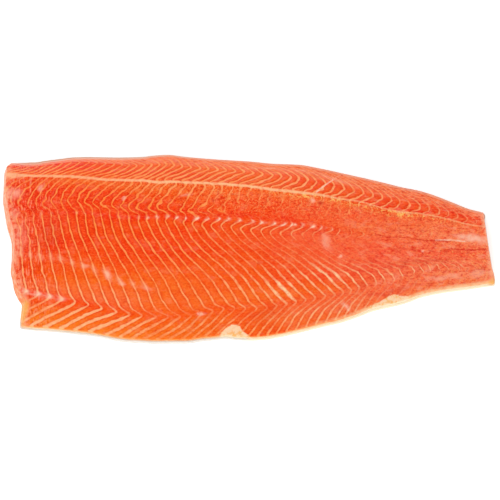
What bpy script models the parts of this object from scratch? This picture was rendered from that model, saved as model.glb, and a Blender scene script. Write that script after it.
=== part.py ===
"""A raw trout fillet lying skin side down: the flesh with its rows of muscle, and the skin below it.

Millimetres throughout, turned into metres where the meshes are made. X runs along the fish
from the head cut to the tail cut, Y from the belly edge to the back edge, Z upwards.
"""
import math

import bmesh
import bpy
import numpy as np

MM = 0.001

# ---- Driving dimensions ---------------------------------------------------------------------

# The flesh outline where it meets the skin, as (along, across) in mm.
BELLY_EDGE = [(-206, -75.3), (-194, -78), (-182, -79), (-156, -81.8), (-136, -84.5), (-118, -88.3),
              (-107, -89.9), (-96, -90.5), (-84, -91.2), (-70, -91), (-56, -90.9), (-42, -88.8),
              (-30, -87.5), (-21, -86.4), (-10, -87.6), (3, -88), (13, -87.3), (28, -84.6), (45, -80.4),
              (64, -75.2), (78, -71.8), (92, -67.1), (100, -63.9), (110, -59.6), (122, -56.5),
              (134, -53.5), (144, -50.1), (152, -46.6), (172, -41.7), (185, -39.6), (195, -38.2),
              (221, -33.8)]
BACK_EDGE = [(-216, 84.3), (-213, 84.3), (-204, 83.8), (-195, 83.8), (-184, 85.5), (-172, 87.2),
             (-158, 88.9), (-146, 89.1), (-120, 88.7), (-98, 89.5), (-85, 91.4), (-73, 92.2),
             (-60, 90.5), (-30, 87.6), (0, 85.6), (24, 83.2), (36, 82.8), (46, 82.3), (60, 79.7),
             (90, 72.6), (120, 65.1), (140, 59.6), (152, 57.1), (163, 53.7), (182, 45.8), (200, 38),
             (217, 33.9)]
# The two knife cuts, as (across, along) in mm.
HEAD_CUT = [(-77, -205.7), (-66, -204.6), (-55, -203.8), (-47, -207.9), (-38, -211.5), (-30, -212.9),
            (-21, -214.6), (-9, -214), (4, -214.2), (24, -219.1), (38, -221.6), (50, -223.2),
            (64, -223), (76, -222.8), (83, -219.1), (87, -214.9)]
TAIL_CUT = [(-37, 220.5), (-29, 221.3), (-18, 219.1), (-5, 217.5), (9, 215.8), (31, 213.4)]

# Seven places along the fish at which the muscle pattern and the thickness are given.
STATIONS = [-213, -133, -68, 0, 65, 136, 217]
# The ten lines that run the length of the fillet, from the belly edge to the back edge.
LINES = ("belly_edge", "belly_points", "lower_flank", "flank", "side_line", "pin_bones",
         "upper_points", "crest", "back_points", "back_edge")
# How far across the fillet each inner line runs: 0 is the belly edge, 1 the back edge.
SHARE_ACROSS = {
    "belly_edge": [0, 0, 0, 0, 0, 0, 0],
    "belly_points": [0.207, 0.129, 0.108, 0.142, 0.147, 0.172, 0.203],
    "lower_flank": [0.263, 0.271, 0.286, 0.290, 0.286, 0.253, 0.263],
    "flank": [0.413, 0.431, 0.446, 0.447, 0.399, 0.332, 0.371],
    "side_line": [0.618, 0.599, 0.585, 0.563, 0.524, 0.477, 0.510],
    "pin_bones": [0.648, 0.625, 0.614, 0.610, 0.570, 0.524, 0.554],
    "upper_points": [0.713, 0.684, 0.653, 0.652, 0.630, 0.604, 0.654],
    "crest": [0.874, 0.825, 0.805, 0.807, 0.779, 0.734, 0.765],
    "back_points": [0.958, 0.943, 0.921, 0.912, 0.890, 0.836, 0.880],
    "back_edge": [1, 1, 1, 1, 1, 1, 1],
}
# How far along the fish a muscle sheet has moved, in mm, from where it crosses the side line.
SHEET_SHIFT = {
    "belly_edge": [-29, 19, 40, 44, 40, 36, 28],
    "belly_points": [10, 50, 66, 70, 59, 49, 35],
    "lower_flank": [8, 27, 44, 50, 50, 42, 27],
    "flank": [5, 12, 17, 22, 25, 20, 13],
    "side_line": [0, 0, 0, 0, 0, 0, 0],
    "pin_bones": [2, 0, 3, 13, 13, 8, 3],
    "upper_points": [-3, -8, -5, 2, 2, 4, 3],
    "crest": [16, 12, 9, 10, 8, 6, 5],
    "back_points": [43, 38, 32, 31, 23, 15, 5],
    "back_edge": [34, 22, 16, -2, -8, -14, -22],
}
# Height of the flesh above the surface it lies on, in mm.
HEIGHT = {
    "belly_edge": [7.0, 8.0, 8.2, 8.0, 7.4, 6.4, 5.5],
    "belly_points": [11.0, 12.4, 12.8, 12.5, 11.8, 10.2, 8.0],
    "lower_flank": [15.0, 16.8, 17.0, 16.5, 15.4, 13.0, 10.0],
    "flank": [19.0, 21.5, 21.6, 20.5, 18.6, 15.2, 11.5],
    "side_line": [23.5, 26.4, 26.3, 25.0, 22.4, 18.0, 13.0],
    "pin_bones": [24.0, 27.0, 26.9, 25.5, 22.8, 18.2, 13.2],
    "upper_points": [25.5, 29.0, 28.6, 27.0, 24.2, 19.4, 13.5],
    "crest": [25.5, 29.2, 28.8, 27.4, 24.4, 19.2, 13.0],
    "back_points": [18.0, 20.6, 20.5, 19.5, 18.0, 14.8, 11.0],
    "back_edge": [9.5, 10.5, 10.6, 10.5, 10.0, 9.3, 8.5],
}

FIRST_SHEET = -265.9
LAST_SHEET = 246.0
SHEET_PITCH = [(-213, 7.8), (-50, 8.3), (0, 9.15), (45, 9.2), (70, 9.45), (150, 9.5), (217, 9.0)]
PIECES_PER_MUSCLE = 2
ROWS_BETWEEN_LINES = (5, 3, 3, 4, 1, 2, 4, 4, 3)
MUSCLE_SWELL = 0.6
SURFACE_WAVE = 0.5
SNAP_TO_CUT = 1.5

SKIN_THICKNESS = 1.2
GAP = 0.3
EDGE_ROUNDING = {"belly": 0.9, "tail": 2.0, "back": 1.5, "head": 3.6}
# The wall of the flesh from its top edge down, as (part of the drop, part of the rounding).
ROUNDED_WALL = [(0.12, 0.62), (0.30, 1.0), (1.0, 1.0)]
SLANTED_WALL = [(0.12, 0.20), (0.30, 0.38), (1.0, 1.0)]

# The skin turns up round the belly edge and the back edge, as (along, height in mm).
BELLY_TURN_UP = [(-205, 0.8), (-160, 1.6), (-105, 3.2), (-55, 3.2), (-15, 1.6), (40, 1.2), (215, 1.0)]
BACK_TURN_UP = [(-213, 4.0), (-195, 6.4), (-120, 6.4), (-80, 5.0), (-30, 3.2), (215, 2.5)]
SKIN_SIDE_GAP = 0.35
SKIN_CUT_OVERHANG = 0.2

FLESH_COLOUR = (0.90, 0.095, 0.028)
FLESH_ROUGHNESS = 0.32
SKIN_COLOUR = (0.62, 0.58, 0.52)
SKIN_ROUGHNESS = 0.35


# ---- Curves through a few given sizes -------------------------------------------------------

def smooth_curve(places, values, at):
    """A curve through the given values that never swings past them."""
    x = np.asarray(places, dtype=float)
    y = np.asarray(values, dtype=float)
    step = np.diff(x)
    slope = np.diff(y) / step
    tangent = np.zeros_like(y)
    tangent[0] = slope[0]
    tangent[-1] = slope[-1]
    for i in range(1, len(x) - 1):
        if slope[i - 1] * slope[i] > 0:
            before = 2 * step[i] + step[i - 1]
            after = step[i] + 2 * step[i - 1]
            tangent[i] = (before + after) / (before / slope[i - 1] + after / slope[i])
    at = float(np.clip(at, x[0], x[-1]))
    i = int(np.clip(np.searchsorted(x, at) - 1, 0, len(x) - 2))
    t = (at - x[i]) / step[i]
    return float((2 * t**3 - 3 * t**2 + 1) * y[i] + (t**3 - 2 * t**2 + t) * step[i] * tangent[i]
                 + (3 * t**2 - 2 * t**3) * y[i + 1] + (t**3 - t**2) * step[i] * tangent[i + 1])


def along_points(points, at):
    return smooth_curve([p[0] for p in points], [p[1] for p in points], at)


def at_station(table, line, along):
    return smooth_curve(STATIONS, table[line], along)


# ---- The surface of the flesh ---------------------------------------------------------------

def across_at(row, along):
    """Across position of a row, where a whole row number is one of the ten lines."""
    low = along_points(BELLY_EDGE, along) + EDGE_ROUNDING["belly"]
    high = along_points(BACK_EDGE, along) - EDGE_ROUNDING["back"]
    line = min(int(row), len(LINES) - 2)
    part = row - line
    share = ((1 - part) * at_station(SHARE_ACROSS, LINES[line], along)
             + part * at_station(SHARE_ACROSS, LINES[line + 1], along))
    return low + share * (high - low)


def shift_at(row, sheet):
    """How far along the fish a muscle sheet lies at a row, from its place on the side line."""
    line = min(int(row), len(LINES) - 2)
    part = row - line
    below = at_station(SHEET_SHIFT, LINES[line], sheet)
    above = at_station(SHEET_SHIFT, LINES[line + 1], sheet)
    name = LINES[line]
    if name in ("belly_points", "lower_flank", "flank"):
        bend = [at_station(SHEET_SHIFT, LINES[k], sheet) for k in range(1, 5)]
        return smooth_curve([1, 2, 3, 4], bend, row)
    if name == "upper_points":
        part = part ** 1.8
    if name == "crest":
        part = 0.55 * part + 0.45 * (1 - (1 - part) ** 3)
    if name == "back_points":
        part = part ** 1.5
    return below + part * (above - below)


def height_at(along, row):
    """Height of the smooth flesh at a row."""
    heights = [at_station(HEIGHT, line, along) for line in LINES]
    wave = (math.sin(along / 31.0 + 0.9 * row) + 0.6 * math.sin(along / 17.0 - 1.7 * row)) / 1.6
    edge_fade = min(row, len(LINES) - 1 - row, 1.0)
    return smooth_curve(range(len(LINES)), heights, row) + SURFACE_WAVE * wave * edge_fade


def cut_end(row, cut, inward):
    """Where a row of the top surface meets a knife cut."""
    along = cut[0][1]
    for _ in range(8):
        along = along_points(cut, across_at(row, along)) + inward
    return along


def sheet_places():
    """Places on the side line of the muscle sheets, and of the muscle's middle between them."""
    places = []
    sheet = FIRST_SHEET
    while sheet < LAST_SHEET:
        pitch = along_points(SHEET_PITCH, sheet)
        for piece in range(PIECES_PER_MUSCLE):
            part = piece / PIECES_PER_MUSCLE
            places.append((sheet + part * pitch, math.sin(math.pi * part)))
        sheet += pitch
    return places


def row_places():
    rows = []
    for line, count in enumerate(ROWS_BETWEEN_LINES):
        rows.extend(line + k / count for k in range(count))
    rows.append(float(len(ROWS_BETWEEN_LINES)))
    return rows


def add_top_surface(mesh):
    """The muscle pattern as a grid whose columns follow the sheets. Returns its outer ring."""
    sheets = sheet_places()
    last_row = len(LINES) - 1
    grid = []
    for row in row_places():
        head = cut_end(row, HEAD_CUT, EDGE_ROUNDING["head"])
        tail = cut_end(row, TAIL_CUT, -EDGE_ROUNDING["tail"])
        head_point = mesh.verts.new((head, across_at(row, head), height_at(head, row)))
        tail_point = mesh.verts.new((tail, across_at(row, tail), height_at(tail, row)))
        points = []
        for sheet, swell in sheets:
            along = sheet + shift_at(row, sheet)
            if along < head + SNAP_TO_CUT:
                points.append(head_point)
            elif along > tail - SNAP_TO_CUT:
                points.append(tail_point)
            else:
                edge_fade = min(row, last_row - row, 1.0)
                up = MUSCLE_SWELL * (swell - 0.5) * edge_fade
                points.append(mesh.verts.new((along, across_at(row, along), height_at(along, row) + up)))
        grid.append(points)
    for lower, upper in zip(grid, grid[1:]):
        for i in range(len(sheets) - 1):
            corners = []
            for point in (lower[i], lower[i + 1], upper[i + 1], upper[i]):
                if point not in corners:
                    corners.append(point)
            if len(corners) > 2:
                mesh.faces.new(corners)
    belly = list(dict.fromkeys(grid[0]))
    back = list(dict.fromkeys(grid[-1]))
    tail_side = [points[-1] for points in grid[1:-1]]
    head_side = [points[0] for points in grid[1:-1]]
    ring = belly + tail_side + back[::-1] + head_side[::-1]
    sides = (["belly"] * len(belly) + ["tail"] * len(tail_side)
             + ["back"] * len(back) + ["head"] * len(head_side))
    return ring, sides


# ---- Rings round the fillet -----------------------------------------------------------------

def ring_blend(values, rounds=2):
    """Evens out a value from point to point round a closed ring."""
    values = np.asarray(values, dtype=float)
    for _ in range(rounds):
        values = 0.25 * np.roll(values, 1) + 0.5 * values + 0.25 * np.roll(values, -1)
    return values


def outward_directions(outline):
    """Directions square to a closed outline that runs anticlockwise."""
    tangent = np.roll(outline, -1, axis=0) - np.roll(outline, 1, axis=0)
    normal = np.stack([tangent[:, 1], -tangent[:, 0]], axis=1)
    return normal / np.linalg.norm(normal, axis=1)[:, None]


def join_rings(mesh, outer, inner):
    for i in range(len(outer)):
        j = (i + 1) % len(outer)
        mesh.faces.new((outer[i], outer[j], inner[j], inner[i]))


def add_ring(mesh, outline, heights):
    return [mesh.verts.new((x, y, z)) for (x, y), z in zip(outline, heights)]


def make_object(name, mesh, colour, roughness):
    bmesh.ops.recalc_face_normals(mesh, faces=mesh.faces)
    bmesh.ops.scale(mesh, vec=(MM, MM, MM), verts=mesh.verts)
    data = bpy.data.meshes.new(name)
    mesh.to_mesh(data)
    mesh.free()
    data.shade_smooth()
    data.set_sharp_from_angle(angle=math.radians(40))
    material = bpy.data.materials.new(name)
    material.use_nodes = True
    shader = material.node_tree.nodes["Principled BSDF"]
    shader.inputs["Base Color"].default_value = (*colour, 1.0)
    shader.inputs["Roughness"].default_value = roughness
    shader.inputs["Metallic"].default_value = 0.0
    data.materials.append(material)
    thing = bpy.data.objects.new(name, data)
    bpy.context.scene.collection.objects.link(thing)
    return thing


# ---- The two pieces -------------------------------------------------------------------------

def make_flesh():
    """The fillet's flesh. Returns the object, its foot outline and which side each point is on."""
    mesh = bmesh.new()
    ring, sides = add_top_surface(mesh)
    top_outline = np.array([(point.co.x, point.co.y) for point in ring])
    top_height = np.array([point.co.z for point in ring])
    outward = outward_directions(top_outline)
    rounding = ring_blend([EDGE_ROUNDING[side] for side in sides])
    slant = ring_blend([1.0 if side in ("head", "tail") else 0.0 for side in sides])
    foot = SKIN_THICKNESS + GAP
    above = ring
    for level in range(len(ROUNDED_WALL)):
        drop, round_out = ROUNDED_WALL[level]
        slant_out = SLANTED_WALL[level][1]
        out = rounding * ((1 - slant) * round_out + slant * slant_out)
        outline = top_outline + outward * out[:, None]
        heights = top_height + drop * (foot - top_height)
        below = add_ring(mesh, outline, heights)
        join_rings(mesh, above, below)
        above = below
    mesh.faces.new(above)
    return make_object("flesh", mesh, FLESH_COLOUR, FLESH_ROUGHNESS), outline, sides


def make_skin(foot_outline, sides):
    """The skin: a thin floor under the flesh whose long edges turn up against it."""
    outward = outward_directions(foot_outline)
    on_edge = ring_blend([1.0 if side in ("belly", "back") else 0.0 for side in sides], rounds=3)
    step_out = np.clip(2 * on_edge, 0, 1)
    rise = np.clip(4 * on_edge - 3, 0, 1)
    turn_up = []
    for (along, _), side in zip(foot_outline, sides):
        turn_up.append(along_points(BELLY_TURN_UP if side == "belly" else BACK_TURN_UP, along))
    rim_height = SKIN_THICKNESS + rise * ring_blend(turn_up)

    def ring_at(cut_offset, edge_offset, heights):
        offset = (1 - step_out) * cut_offset + step_out * edge_offset
        outline = foot_outline + outward * offset[:, None]
        return add_ring(mesh, outline, np.broadcast_to(heights, len(outline)))

    mesh = bmesh.new()
    outer = SKIN_SIDE_GAP + SKIN_THICKNESS
    under = ring_at(-0.6, outer - 0.9, 0.0)
    side_low = ring_at(SKIN_CUT_OVERHANG, outer, 0.5 * SKIN_THICKNESS)
    rim_outer = ring_at(SKIN_CUT_OVERHANG - 0.1, outer - 0.1, rim_height)
    rim_inner = ring_at(-0.4, SKIN_SIDE_GAP, rim_height)
    floor = ring_at(-1.2, 0.0, SKIN_THICKNESS)
    join_rings(mesh, under, side_low)
    join_rings(mesh, side_low, rim_outer)
    join_rings(mesh, rim_outer, rim_inner)
    join_rings(mesh, rim_inner, floor)
    mesh.faces.new(floor)
    mesh.faces.new(under)
    return make_object("skin", mesh, SKIN_COLOUR, SKIN_ROUGHNESS)


def centre_on_origin(things):
    """Moves every mesh so that the origin is under the middle of the whole fillet."""
    corners = np.array([vert.co for thing in things for vert in thing.data.vertices])
    low = corners.min(axis=0)
    high = corners.max(axis=0)
    for thing in things:
        for vert in thing.data.vertices:
            vert.co.x -= (low[0] + high[0]) / 2
            vert.co.y -= (low[1] + high[1]) / 2
            vert.co.z -= low[2]


def main():
    for thing in list(bpy.data.objects):
        bpy.data.objects.remove(thing)
    flesh, foot_outline, sides = make_flesh()
    skin = make_skin(foot_outline, sides)
    centre_on_origin([flesh, skin])
    for thing in (flesh, skin):
        print(thing.name, "faces:", len(thing.data.polygons))


main()
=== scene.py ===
# %% [markdown]
# # A raw trout fillet, skin side down
# A fillet is one side of the fish: a slab of muscle on its skin. What makes it a fillet to the eye
# is the pattern of pale lines. Each line is the edge of a thin sheet of gristle that parts one
# block of muscle from the next, folded into a tall zigzag. This lesson builds that pattern once,
# as a curved grid, and lets shape, relief and colour all follow it.
#
# Two solids come from the frame: the flesh and the skin. They fix the size and the place of
# everything here. Both are replaced by finer meshes of the same form.

# %% Load the fixed frame
import math

import bpy
import mathutils
import numpy as np
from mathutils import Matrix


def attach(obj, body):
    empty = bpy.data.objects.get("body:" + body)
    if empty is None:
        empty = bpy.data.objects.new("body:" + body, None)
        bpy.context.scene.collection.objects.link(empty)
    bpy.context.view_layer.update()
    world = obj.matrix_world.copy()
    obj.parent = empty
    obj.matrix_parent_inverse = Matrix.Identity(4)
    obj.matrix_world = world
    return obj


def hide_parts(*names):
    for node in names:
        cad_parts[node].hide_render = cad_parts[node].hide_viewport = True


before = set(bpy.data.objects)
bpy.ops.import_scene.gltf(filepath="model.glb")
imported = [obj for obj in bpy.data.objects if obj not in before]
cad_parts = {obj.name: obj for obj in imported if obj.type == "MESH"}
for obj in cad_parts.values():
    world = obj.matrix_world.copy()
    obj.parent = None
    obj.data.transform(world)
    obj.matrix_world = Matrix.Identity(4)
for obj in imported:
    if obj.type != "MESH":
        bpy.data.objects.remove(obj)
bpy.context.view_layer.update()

MM = 0.001

# %% [markdown]
# ## The sizes of the fillet
# A fillet is drawn best the way a fishmonger would describe it: the belly edge, the back edge and
# the two knife cuts. Everything else is a share of the way across. The sizes below are those of
# the solids, in millimetres, X along the fish and Y from belly to back.

# %% The outline
BELLY_EDGE = [(-206, -75.3), (-194, -78), (-182, -79), (-156, -81.8), (-136, -84.5), (-118, -88.3),
              (-107, -89.9), (-96, -90.5), (-84, -91.2), (-70, -91), (-56, -90.9), (-42, -88.8),
              (-30, -87.5), (-21, -86.4), (-10, -87.6), (3, -88), (13, -87.3), (28, -84.6), (45, -80.4),
              (64, -75.2), (78, -71.8), (92, -67.1), (100, -63.9), (110, -59.6), (122, -56.5),
              (134, -53.5), (144, -50.1), (152, -46.6), (172, -41.7), (185, -39.6), (195, -38.2),
              (221, -33.8)]
BACK_EDGE = [(-216, 84.3), (-213, 84.3), (-204, 83.8), (-195, 83.8), (-184, 85.5), (-172, 87.2),
             (-158, 88.9), (-146, 89.1), (-120, 88.7), (-98, 89.5), (-85, 91.4), (-73, 92.2),
             (-60, 90.5), (-30, 87.6), (0, 85.6), (24, 83.2), (36, 82.8), (46, 82.3), (60, 79.7),
             (90, 72.6), (120, 65.1), (140, 59.6), (152, 57.1), (163, 53.7), (182, 45.8), (200, 38),
             (217, 33.9)]
HEAD_CUT = [(-77, -205.7), (-66, -204.6), (-55, -203.8), (-47, -207.9), (-38, -211.5), (-30, -212.9),
            (-21, -214.6), (-9, -214), (4, -214.2), (24, -219.1), (38, -221.6), (50, -223.2),
            (64, -223), (76, -222.8), (83, -219.1), (87, -214.9)]
TAIL_CUT = [(-37, 220.5), (-29, 221.3), (-18, 219.1), (-5, 217.5), (9, 215.8), (31, 213.4)]
EDGE_ROUNDING = {"belly": 0.9, "tail": 2.0, "back": 1.5, "head": 3.6}
print(len(BELLY_EDGE), "points on the belly edge,", len(BACK_EDGE), "on the back edge")

# %% [markdown]
# ## The ten lines
# Ten lines run the length of the fillet, from its belly edge to its back edge. The sheets turn at
# some of them, and the thickness is known at all of them. For seven stations along the fish, the
# first table says what share of the way across each line runs, and the second how high the cut
# surface lies there, in millimetres.

# %% Where the lines run, and how high the flesh is there
STATIONS = [-213, -133, -68, 0, 65, 136, 217]
LINES = ("belly_edge", "belly_points", "lower_flank", "flank", "side_line", "pin_bones",
         "upper_points", "crest", "back_points", "back_edge")
SHARE_ACROSS = {
    "belly_edge": [0, 0, 0, 0, 0, 0, 0],
    "belly_points": [0.207, 0.129, 0.108, 0.142, 0.147, 0.172, 0.203],
    "lower_flank": [0.263, 0.271, 0.286, 0.290, 0.286, 0.253, 0.263],
    "flank": [0.413, 0.431, 0.446, 0.447, 0.399, 0.332, 0.371],
    "side_line": [0.618, 0.599, 0.585, 0.563, 0.524, 0.477, 0.510],
    "pin_bones": [0.648, 0.625, 0.614, 0.610, 0.570, 0.524, 0.554],
    "upper_points": [0.713, 0.684, 0.653, 0.652, 0.630, 0.604, 0.654],
    "crest": [0.874, 0.825, 0.805, 0.807, 0.779, 0.734, 0.765],
    "back_points": [0.958, 0.943, 0.921, 0.912, 0.890, 0.836, 0.880],
    "back_edge": [1, 1, 1, 1, 1, 1, 1],
}
HEIGHT = {
    "belly_edge": [7.0, 8.0, 8.2, 8.0, 7.4, 6.4, 5.5],
    "belly_points": [11.0, 12.4, 12.8, 12.5, 11.8, 10.2, 8.0],
    "lower_flank": [15.0, 16.8, 17.0, 16.5, 15.4, 13.0, 10.0],
    "flank": [19.0, 21.5, 21.6, 20.5, 18.6, 15.2, 11.5],
    "side_line": [23.5, 26.4, 26.3, 25.0, 22.4, 18.0, 13.0],
    "pin_bones": [24.0, 27.0, 26.9, 25.5, 22.8, 18.2, 13.2],
    "upper_points": [25.5, 29.0, 28.6, 27.0, 24.2, 19.4, 13.5],
    "crest": [25.5, 29.2, 28.8, 27.4, 24.4, 19.2, 13.0],
    "back_points": [18.0, 20.6, 20.5, 19.5, 18.0, 14.8, 11.0],
    "back_edge": [9.5, 10.5, 10.6, 10.5, 10.0, 9.3, 8.5],
}
print(len(LINES), "lines known at", len(STATIONS), "stations")

# %% [markdown]
# ## A curve that never overshoots
# An ordinary spline through a few sizes swings past them, and an edge then bulges where none was
# asked for. This one bends only as much as its neighbours allow. It takes whole arrays, so a row
# of the grid is one call.

# %% A smooth curve through given sizes
def curve(places, values, at):
    """A curve through the given values. Values may be one list, or one row of values a place."""
    x = np.asarray(places, dtype=float)
    y = np.asarray(values, dtype=float)
    if y.ndim == 1:
        y = y[:, None]
    step = np.diff(x)[:, None]
    slope = np.diff(y, axis=0) / step
    tangent = np.zeros_like(y)
    tangent[0] = slope[0]
    tangent[-1] = slope[-1]
    before = 2 * step[1:] + step[:-1]
    after = step[1:] + 2 * step[:-1]
    same_way = slope[:-1] * slope[1:] > 0
    low = np.where(same_way, slope[:-1], 1.0)
    high = np.where(same_way, slope[1:], 1.0)
    tangent[1:-1] = np.where(same_way, (before + after) / (before / low + after / high), 0.0)
    at = np.clip(np.asarray(at, dtype=float), x[0], x[-1])
    i = np.clip(np.searchsorted(x, at) - 1, 0, len(x) - 2)
    column = np.arange(y.shape[1]) if y.shape[1] > 1 else 0
    gap = step[i, 0]
    t = (at - x[i]) / gap
    return ((2 * t**3 - 3 * t**2 + 1) * y[i, column] + (t**3 - 2 * t**2 + t) * gap * tangent[i, column]
            + (3 * t**2 - 2 * t**3) * y[i + 1, column] + (t**3 - t**2) * gap * tangent[i + 1, column])


def along_points(points, at):
    return curve([p[0] for p in points], [p[1] for p in points], at)


def at_station(table, line, along):
    return curve(STATIONS, table[line], along)


print("flesh is", round(float(along_points(BACK_EDGE, 0) - along_points(BELLY_EDGE, 0)), 1), "mm wide")

# %% [markdown]
# ## From sheet and row to a place
# A point of the cut surface is named by two numbers: the muscle sheet it belongs to, counted by
# the place where that sheet meets the side line, and its row across, where whole numbers are the
# ten lines. The two functions below turn a row and a place along the fish into a place across and
# a height. They are the same rules that gave the solids their form, so the fine mesh lands on the
# coarse one.

# %% Across and up
def across_at(row, along):
    low = along_points(BELLY_EDGE, along) + EDGE_ROUNDING["belly"]
    high = along_points(BACK_EDGE, along) - EDGE_ROUNDING["back"]
    line = min(int(row), len(LINES) - 2)
    part = row - line
    share = ((1 - part) * at_station(SHARE_ACROSS, LINES[line], along)
             + part * at_station(SHARE_ACROSS, LINES[line + 1], along))
    return low + share * (high - low)


# A slow wave lies over the surface: its height, and how far it takes to turn, in mm.
SURFACE_WAVE = 0.5
LONG_WAVE = 31.0
SHORT_WAVE = 17.0


def height_at(along, row):
    heights = [at_station(HEIGHT, line, along) for line in LINES]
    wave = (np.sin(along / LONG_WAVE + 0.9 * row) + 0.6 * np.sin(along / SHORT_WAVE - 1.7 * row)) / 1.6
    edge_fade = min(row, len(LINES) - 1 - row, 1.0)
    return curve(range(len(LINES)), heights, row) + SURFACE_WAVE * wave * edge_fade


print("the shoulder is", round(float(height_at(-133.0, LINES.index("crest"))), 1), "mm high")

# %% [markdown]
# ## The fold of the sheets
# Each sheet of gristle is folded into a tall zigzag, and the zigzag itself changes from head to
# tail. The table follows a sheet across the fillet: it says how far along the fish the sheet has
# moved, at each row, from the place where it crosses the side line. The belly points lie up to
# 70 mm behind that place, the upper points in front of it. Half rows give the arms their bend.

# %% How far along the fish a sheet has moved, in mm
FOLD_STATIONS = [-213, -173, -133, -90, -45, 0, 45, 90, 136, 217]
SHEET_FOLD = {
    0: [-29, -9.5, 17.4, 33.4, 43, 42, 39.5, 36, 36, 28],
    0.5: [-9.7, 10.9, 33.7, 49.7, 53.3, 49.2, 46.8, 45.5, 42.5, 32],
    0.8: [3.3, 22.5, 43.6, 56.5, 62.4, 61.5, 56.7, 52, 46, 34],
    1: [10.5, 29, 50.5, 62, 69, 70, 62.5, 56, 49.5, 35.5],
    1.15: [9.5, 24, 38.5, 53, 64, 66, 59.5, 54.5, 47.5, 34],
    1.4: [10, 21.5, 34.5, 49.3, 60, 61.5, 57.8, 54, 46.5, 32],
    2: [8.5, 17, 27.5, 38.7, 49.2, 49.8, 51.1, 50.5, 42, 27],
    2.5: [7, 13.4, 21, 27, 36.1, 40, 39.6, 40.3, 33, 20],
    3: [6.5, 10, 13, 15, 19.7, 25, 26, 27, 21.5, 13],
    3.5: [6, 5, 4, 6.5, 8, 8.7, 7.5, 10, 10, 6.5],
    4: [2, 1, 0.6, 0.6, 0, -1.2, -2, 0, 0, 0],
    4.3: [2.8, 1.1, 0.5, 0.2, 0.4, 1.4, 2.9, 4.2, 2.2, 1],
    5: [3, 1, 0, 0.5, 5.5, 14.5, 16.5, 12, 7.5, 3.5],
    5.2: [1.5, 0.3, -0.7, 0.3, 4.7, 11.3, 11.5, 7.5, 6, 3],
    5.5: [-1, -3.7, -1.3, -0.2, 3.3, 10.6, 6.4, 2.6, 5, 2.5],
    5.8: [-2.5, -5.5, -5.9, -5.1, -0.4, 5, 3.7, 1.8, 4, 2.5],
    6: [-3, -5.9, -8.5, -8, -2.9, 3.2, 2.4, 2, 4, 3],
    6.3: [-1.5, -3.0, -3.9, -2.5, 2.2, 5.8, 6.8, 4, 4.5, 3.5],
    6.5: [1, -0.5, -0.6, 1.2, 4.6, 8.3, 9.2, 5.5, 4.5, 4],
    6.8: [9, 7.2, 6.8, 7.7, 9.5, 10.5, 12, 6, 6.5, 5],
    6.95: [15, 12.7, 12.3, 11.9, 12, 12.8, 14.5, 7.5, 8.3, 6],
    7.1: [18, 18, 13, 7, 6.6, 9, 8.3, 1.2, 3.4, 3],
    7.25: [23, 23, 18, 13, 11.9, 16.9, 18.5, 8.8, 9.7, 4],
    7.4: [29, 30.1, 24.7, 18.7, 15.8, 21, 19.7, 11, 12.9, 4.5],
    7.7: [37, 37, 32.8, 25.6, 22.1, 26.8, 21.3, 14.7, 13.3, 5],
    8: [43, 43, 38, 32, 31.7, 29.9, 24.2, 19.5, 14.6, 5],
    8.25: [42, 42, 35.3, 30, 28, 25.5, 19.7, 21.1, 13.1, 1],
    8.5: [39, 39, 30.5, 28, 24, 20, 16, 14, 6, -4],
    9: [34, 30, 22, 20, 10, -2, -6, -9, -14, -22],
}


def fold_shift(rows, sheet):
    """How far each sheet has moved along the fish, at each row."""
    known_rows = list(SHEET_FOLD)
    at_known = np.array([curve(FOLD_STATIONS, SHEET_FOLD[row], sheet) for row in known_rows])
    return np.array([[np.interp(row, known_rows, one_sheet) for one_sheet in at_known.T] for row in rows])


print("belly points lie", float(fold_shift([1], np.array([0.0]))[0, 0]), "mm behind the side line")

# %% [markdown]
# ## Unevenness
# Nothing in a fish is ruled. Smooth random patches, made from a small seeded lattice, give the
# wobble of the lines and the roll of the surface. One function with a patch size does for both.

# %% Smooth random patches
LATTICE = 64


def patches(x, y, size, seed):
    """Random hills and hollows of about the given size in mm, from -1 to 1."""
    lattice = np.random.default_rng(seed).uniform(-1, 1, (LATTICE, LATTICE))
    u = np.asarray(x, dtype=float) / size
    v = np.asarray(y, dtype=float) / size
    i = np.floor(u).astype(int)
    j = np.floor(v).astype(int)
    s = (u - i) ** 2 * (3 - 2 * (u - i))
    t = (v - j) ** 2 * (3 - 2 * (v - j))

    def corner(a, b):
        return lattice[(i + a) % LATTICE, (j + b) % LATTICE]

    near = corner(0, 0) * (1 - s) + corner(1, 0) * s
    far = corner(0, 1) * (1 - s) + corner(1, 1) * s
    return near * (1 - t) + far * t


print("patches come from", LATTICE, "by", LATTICE, "random values")

# %% [markdown]
# ## The grid of the cut surface
# The columns of the grid follow the muscle sheets and the rows follow the ten lines, so every
# pale line lies along the grain of the mesh and relief along it stays crisp. Columns that run off
# a knife cut collapse onto it. At about 1 mm a step the grid holds flakes and fibres as real form.

# %% Columns and rows
FIRST_SHEET = -265.9
LAST_SHEET = 246.0
SHEET_PITCH = [(-213, 7.8), (-50, 8.3), (0, 9.15), (45, 9.2), (70, 9.45), (150, 9.5), (217, 9.0)]
STEPS_IN_MUSCLE = (0.0, 0.07, 0.17, 0.33, 0.5, 0.67, 0.83, 0.93)
ROWS_BETWEEN_LINES = (20, 22, 24, 20, 7, 10, 23, 22, 14)
LAST_ROW = len(LINES) - 1


def column_places():
    """Place on the side line and sheet count of each column."""
    places = []
    counts = []
    sheet = FIRST_SHEET
    number = 0
    while sheet < LAST_SHEET:
        pitch = float(along_points(SHEET_PITCH, sheet))
        for part in STEPS_IN_MUSCLE:
            places.append(sheet + part * pitch)
            counts.append(number + part)
        sheet += pitch
        number += 1
    return np.array(places), np.array(counts)


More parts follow.
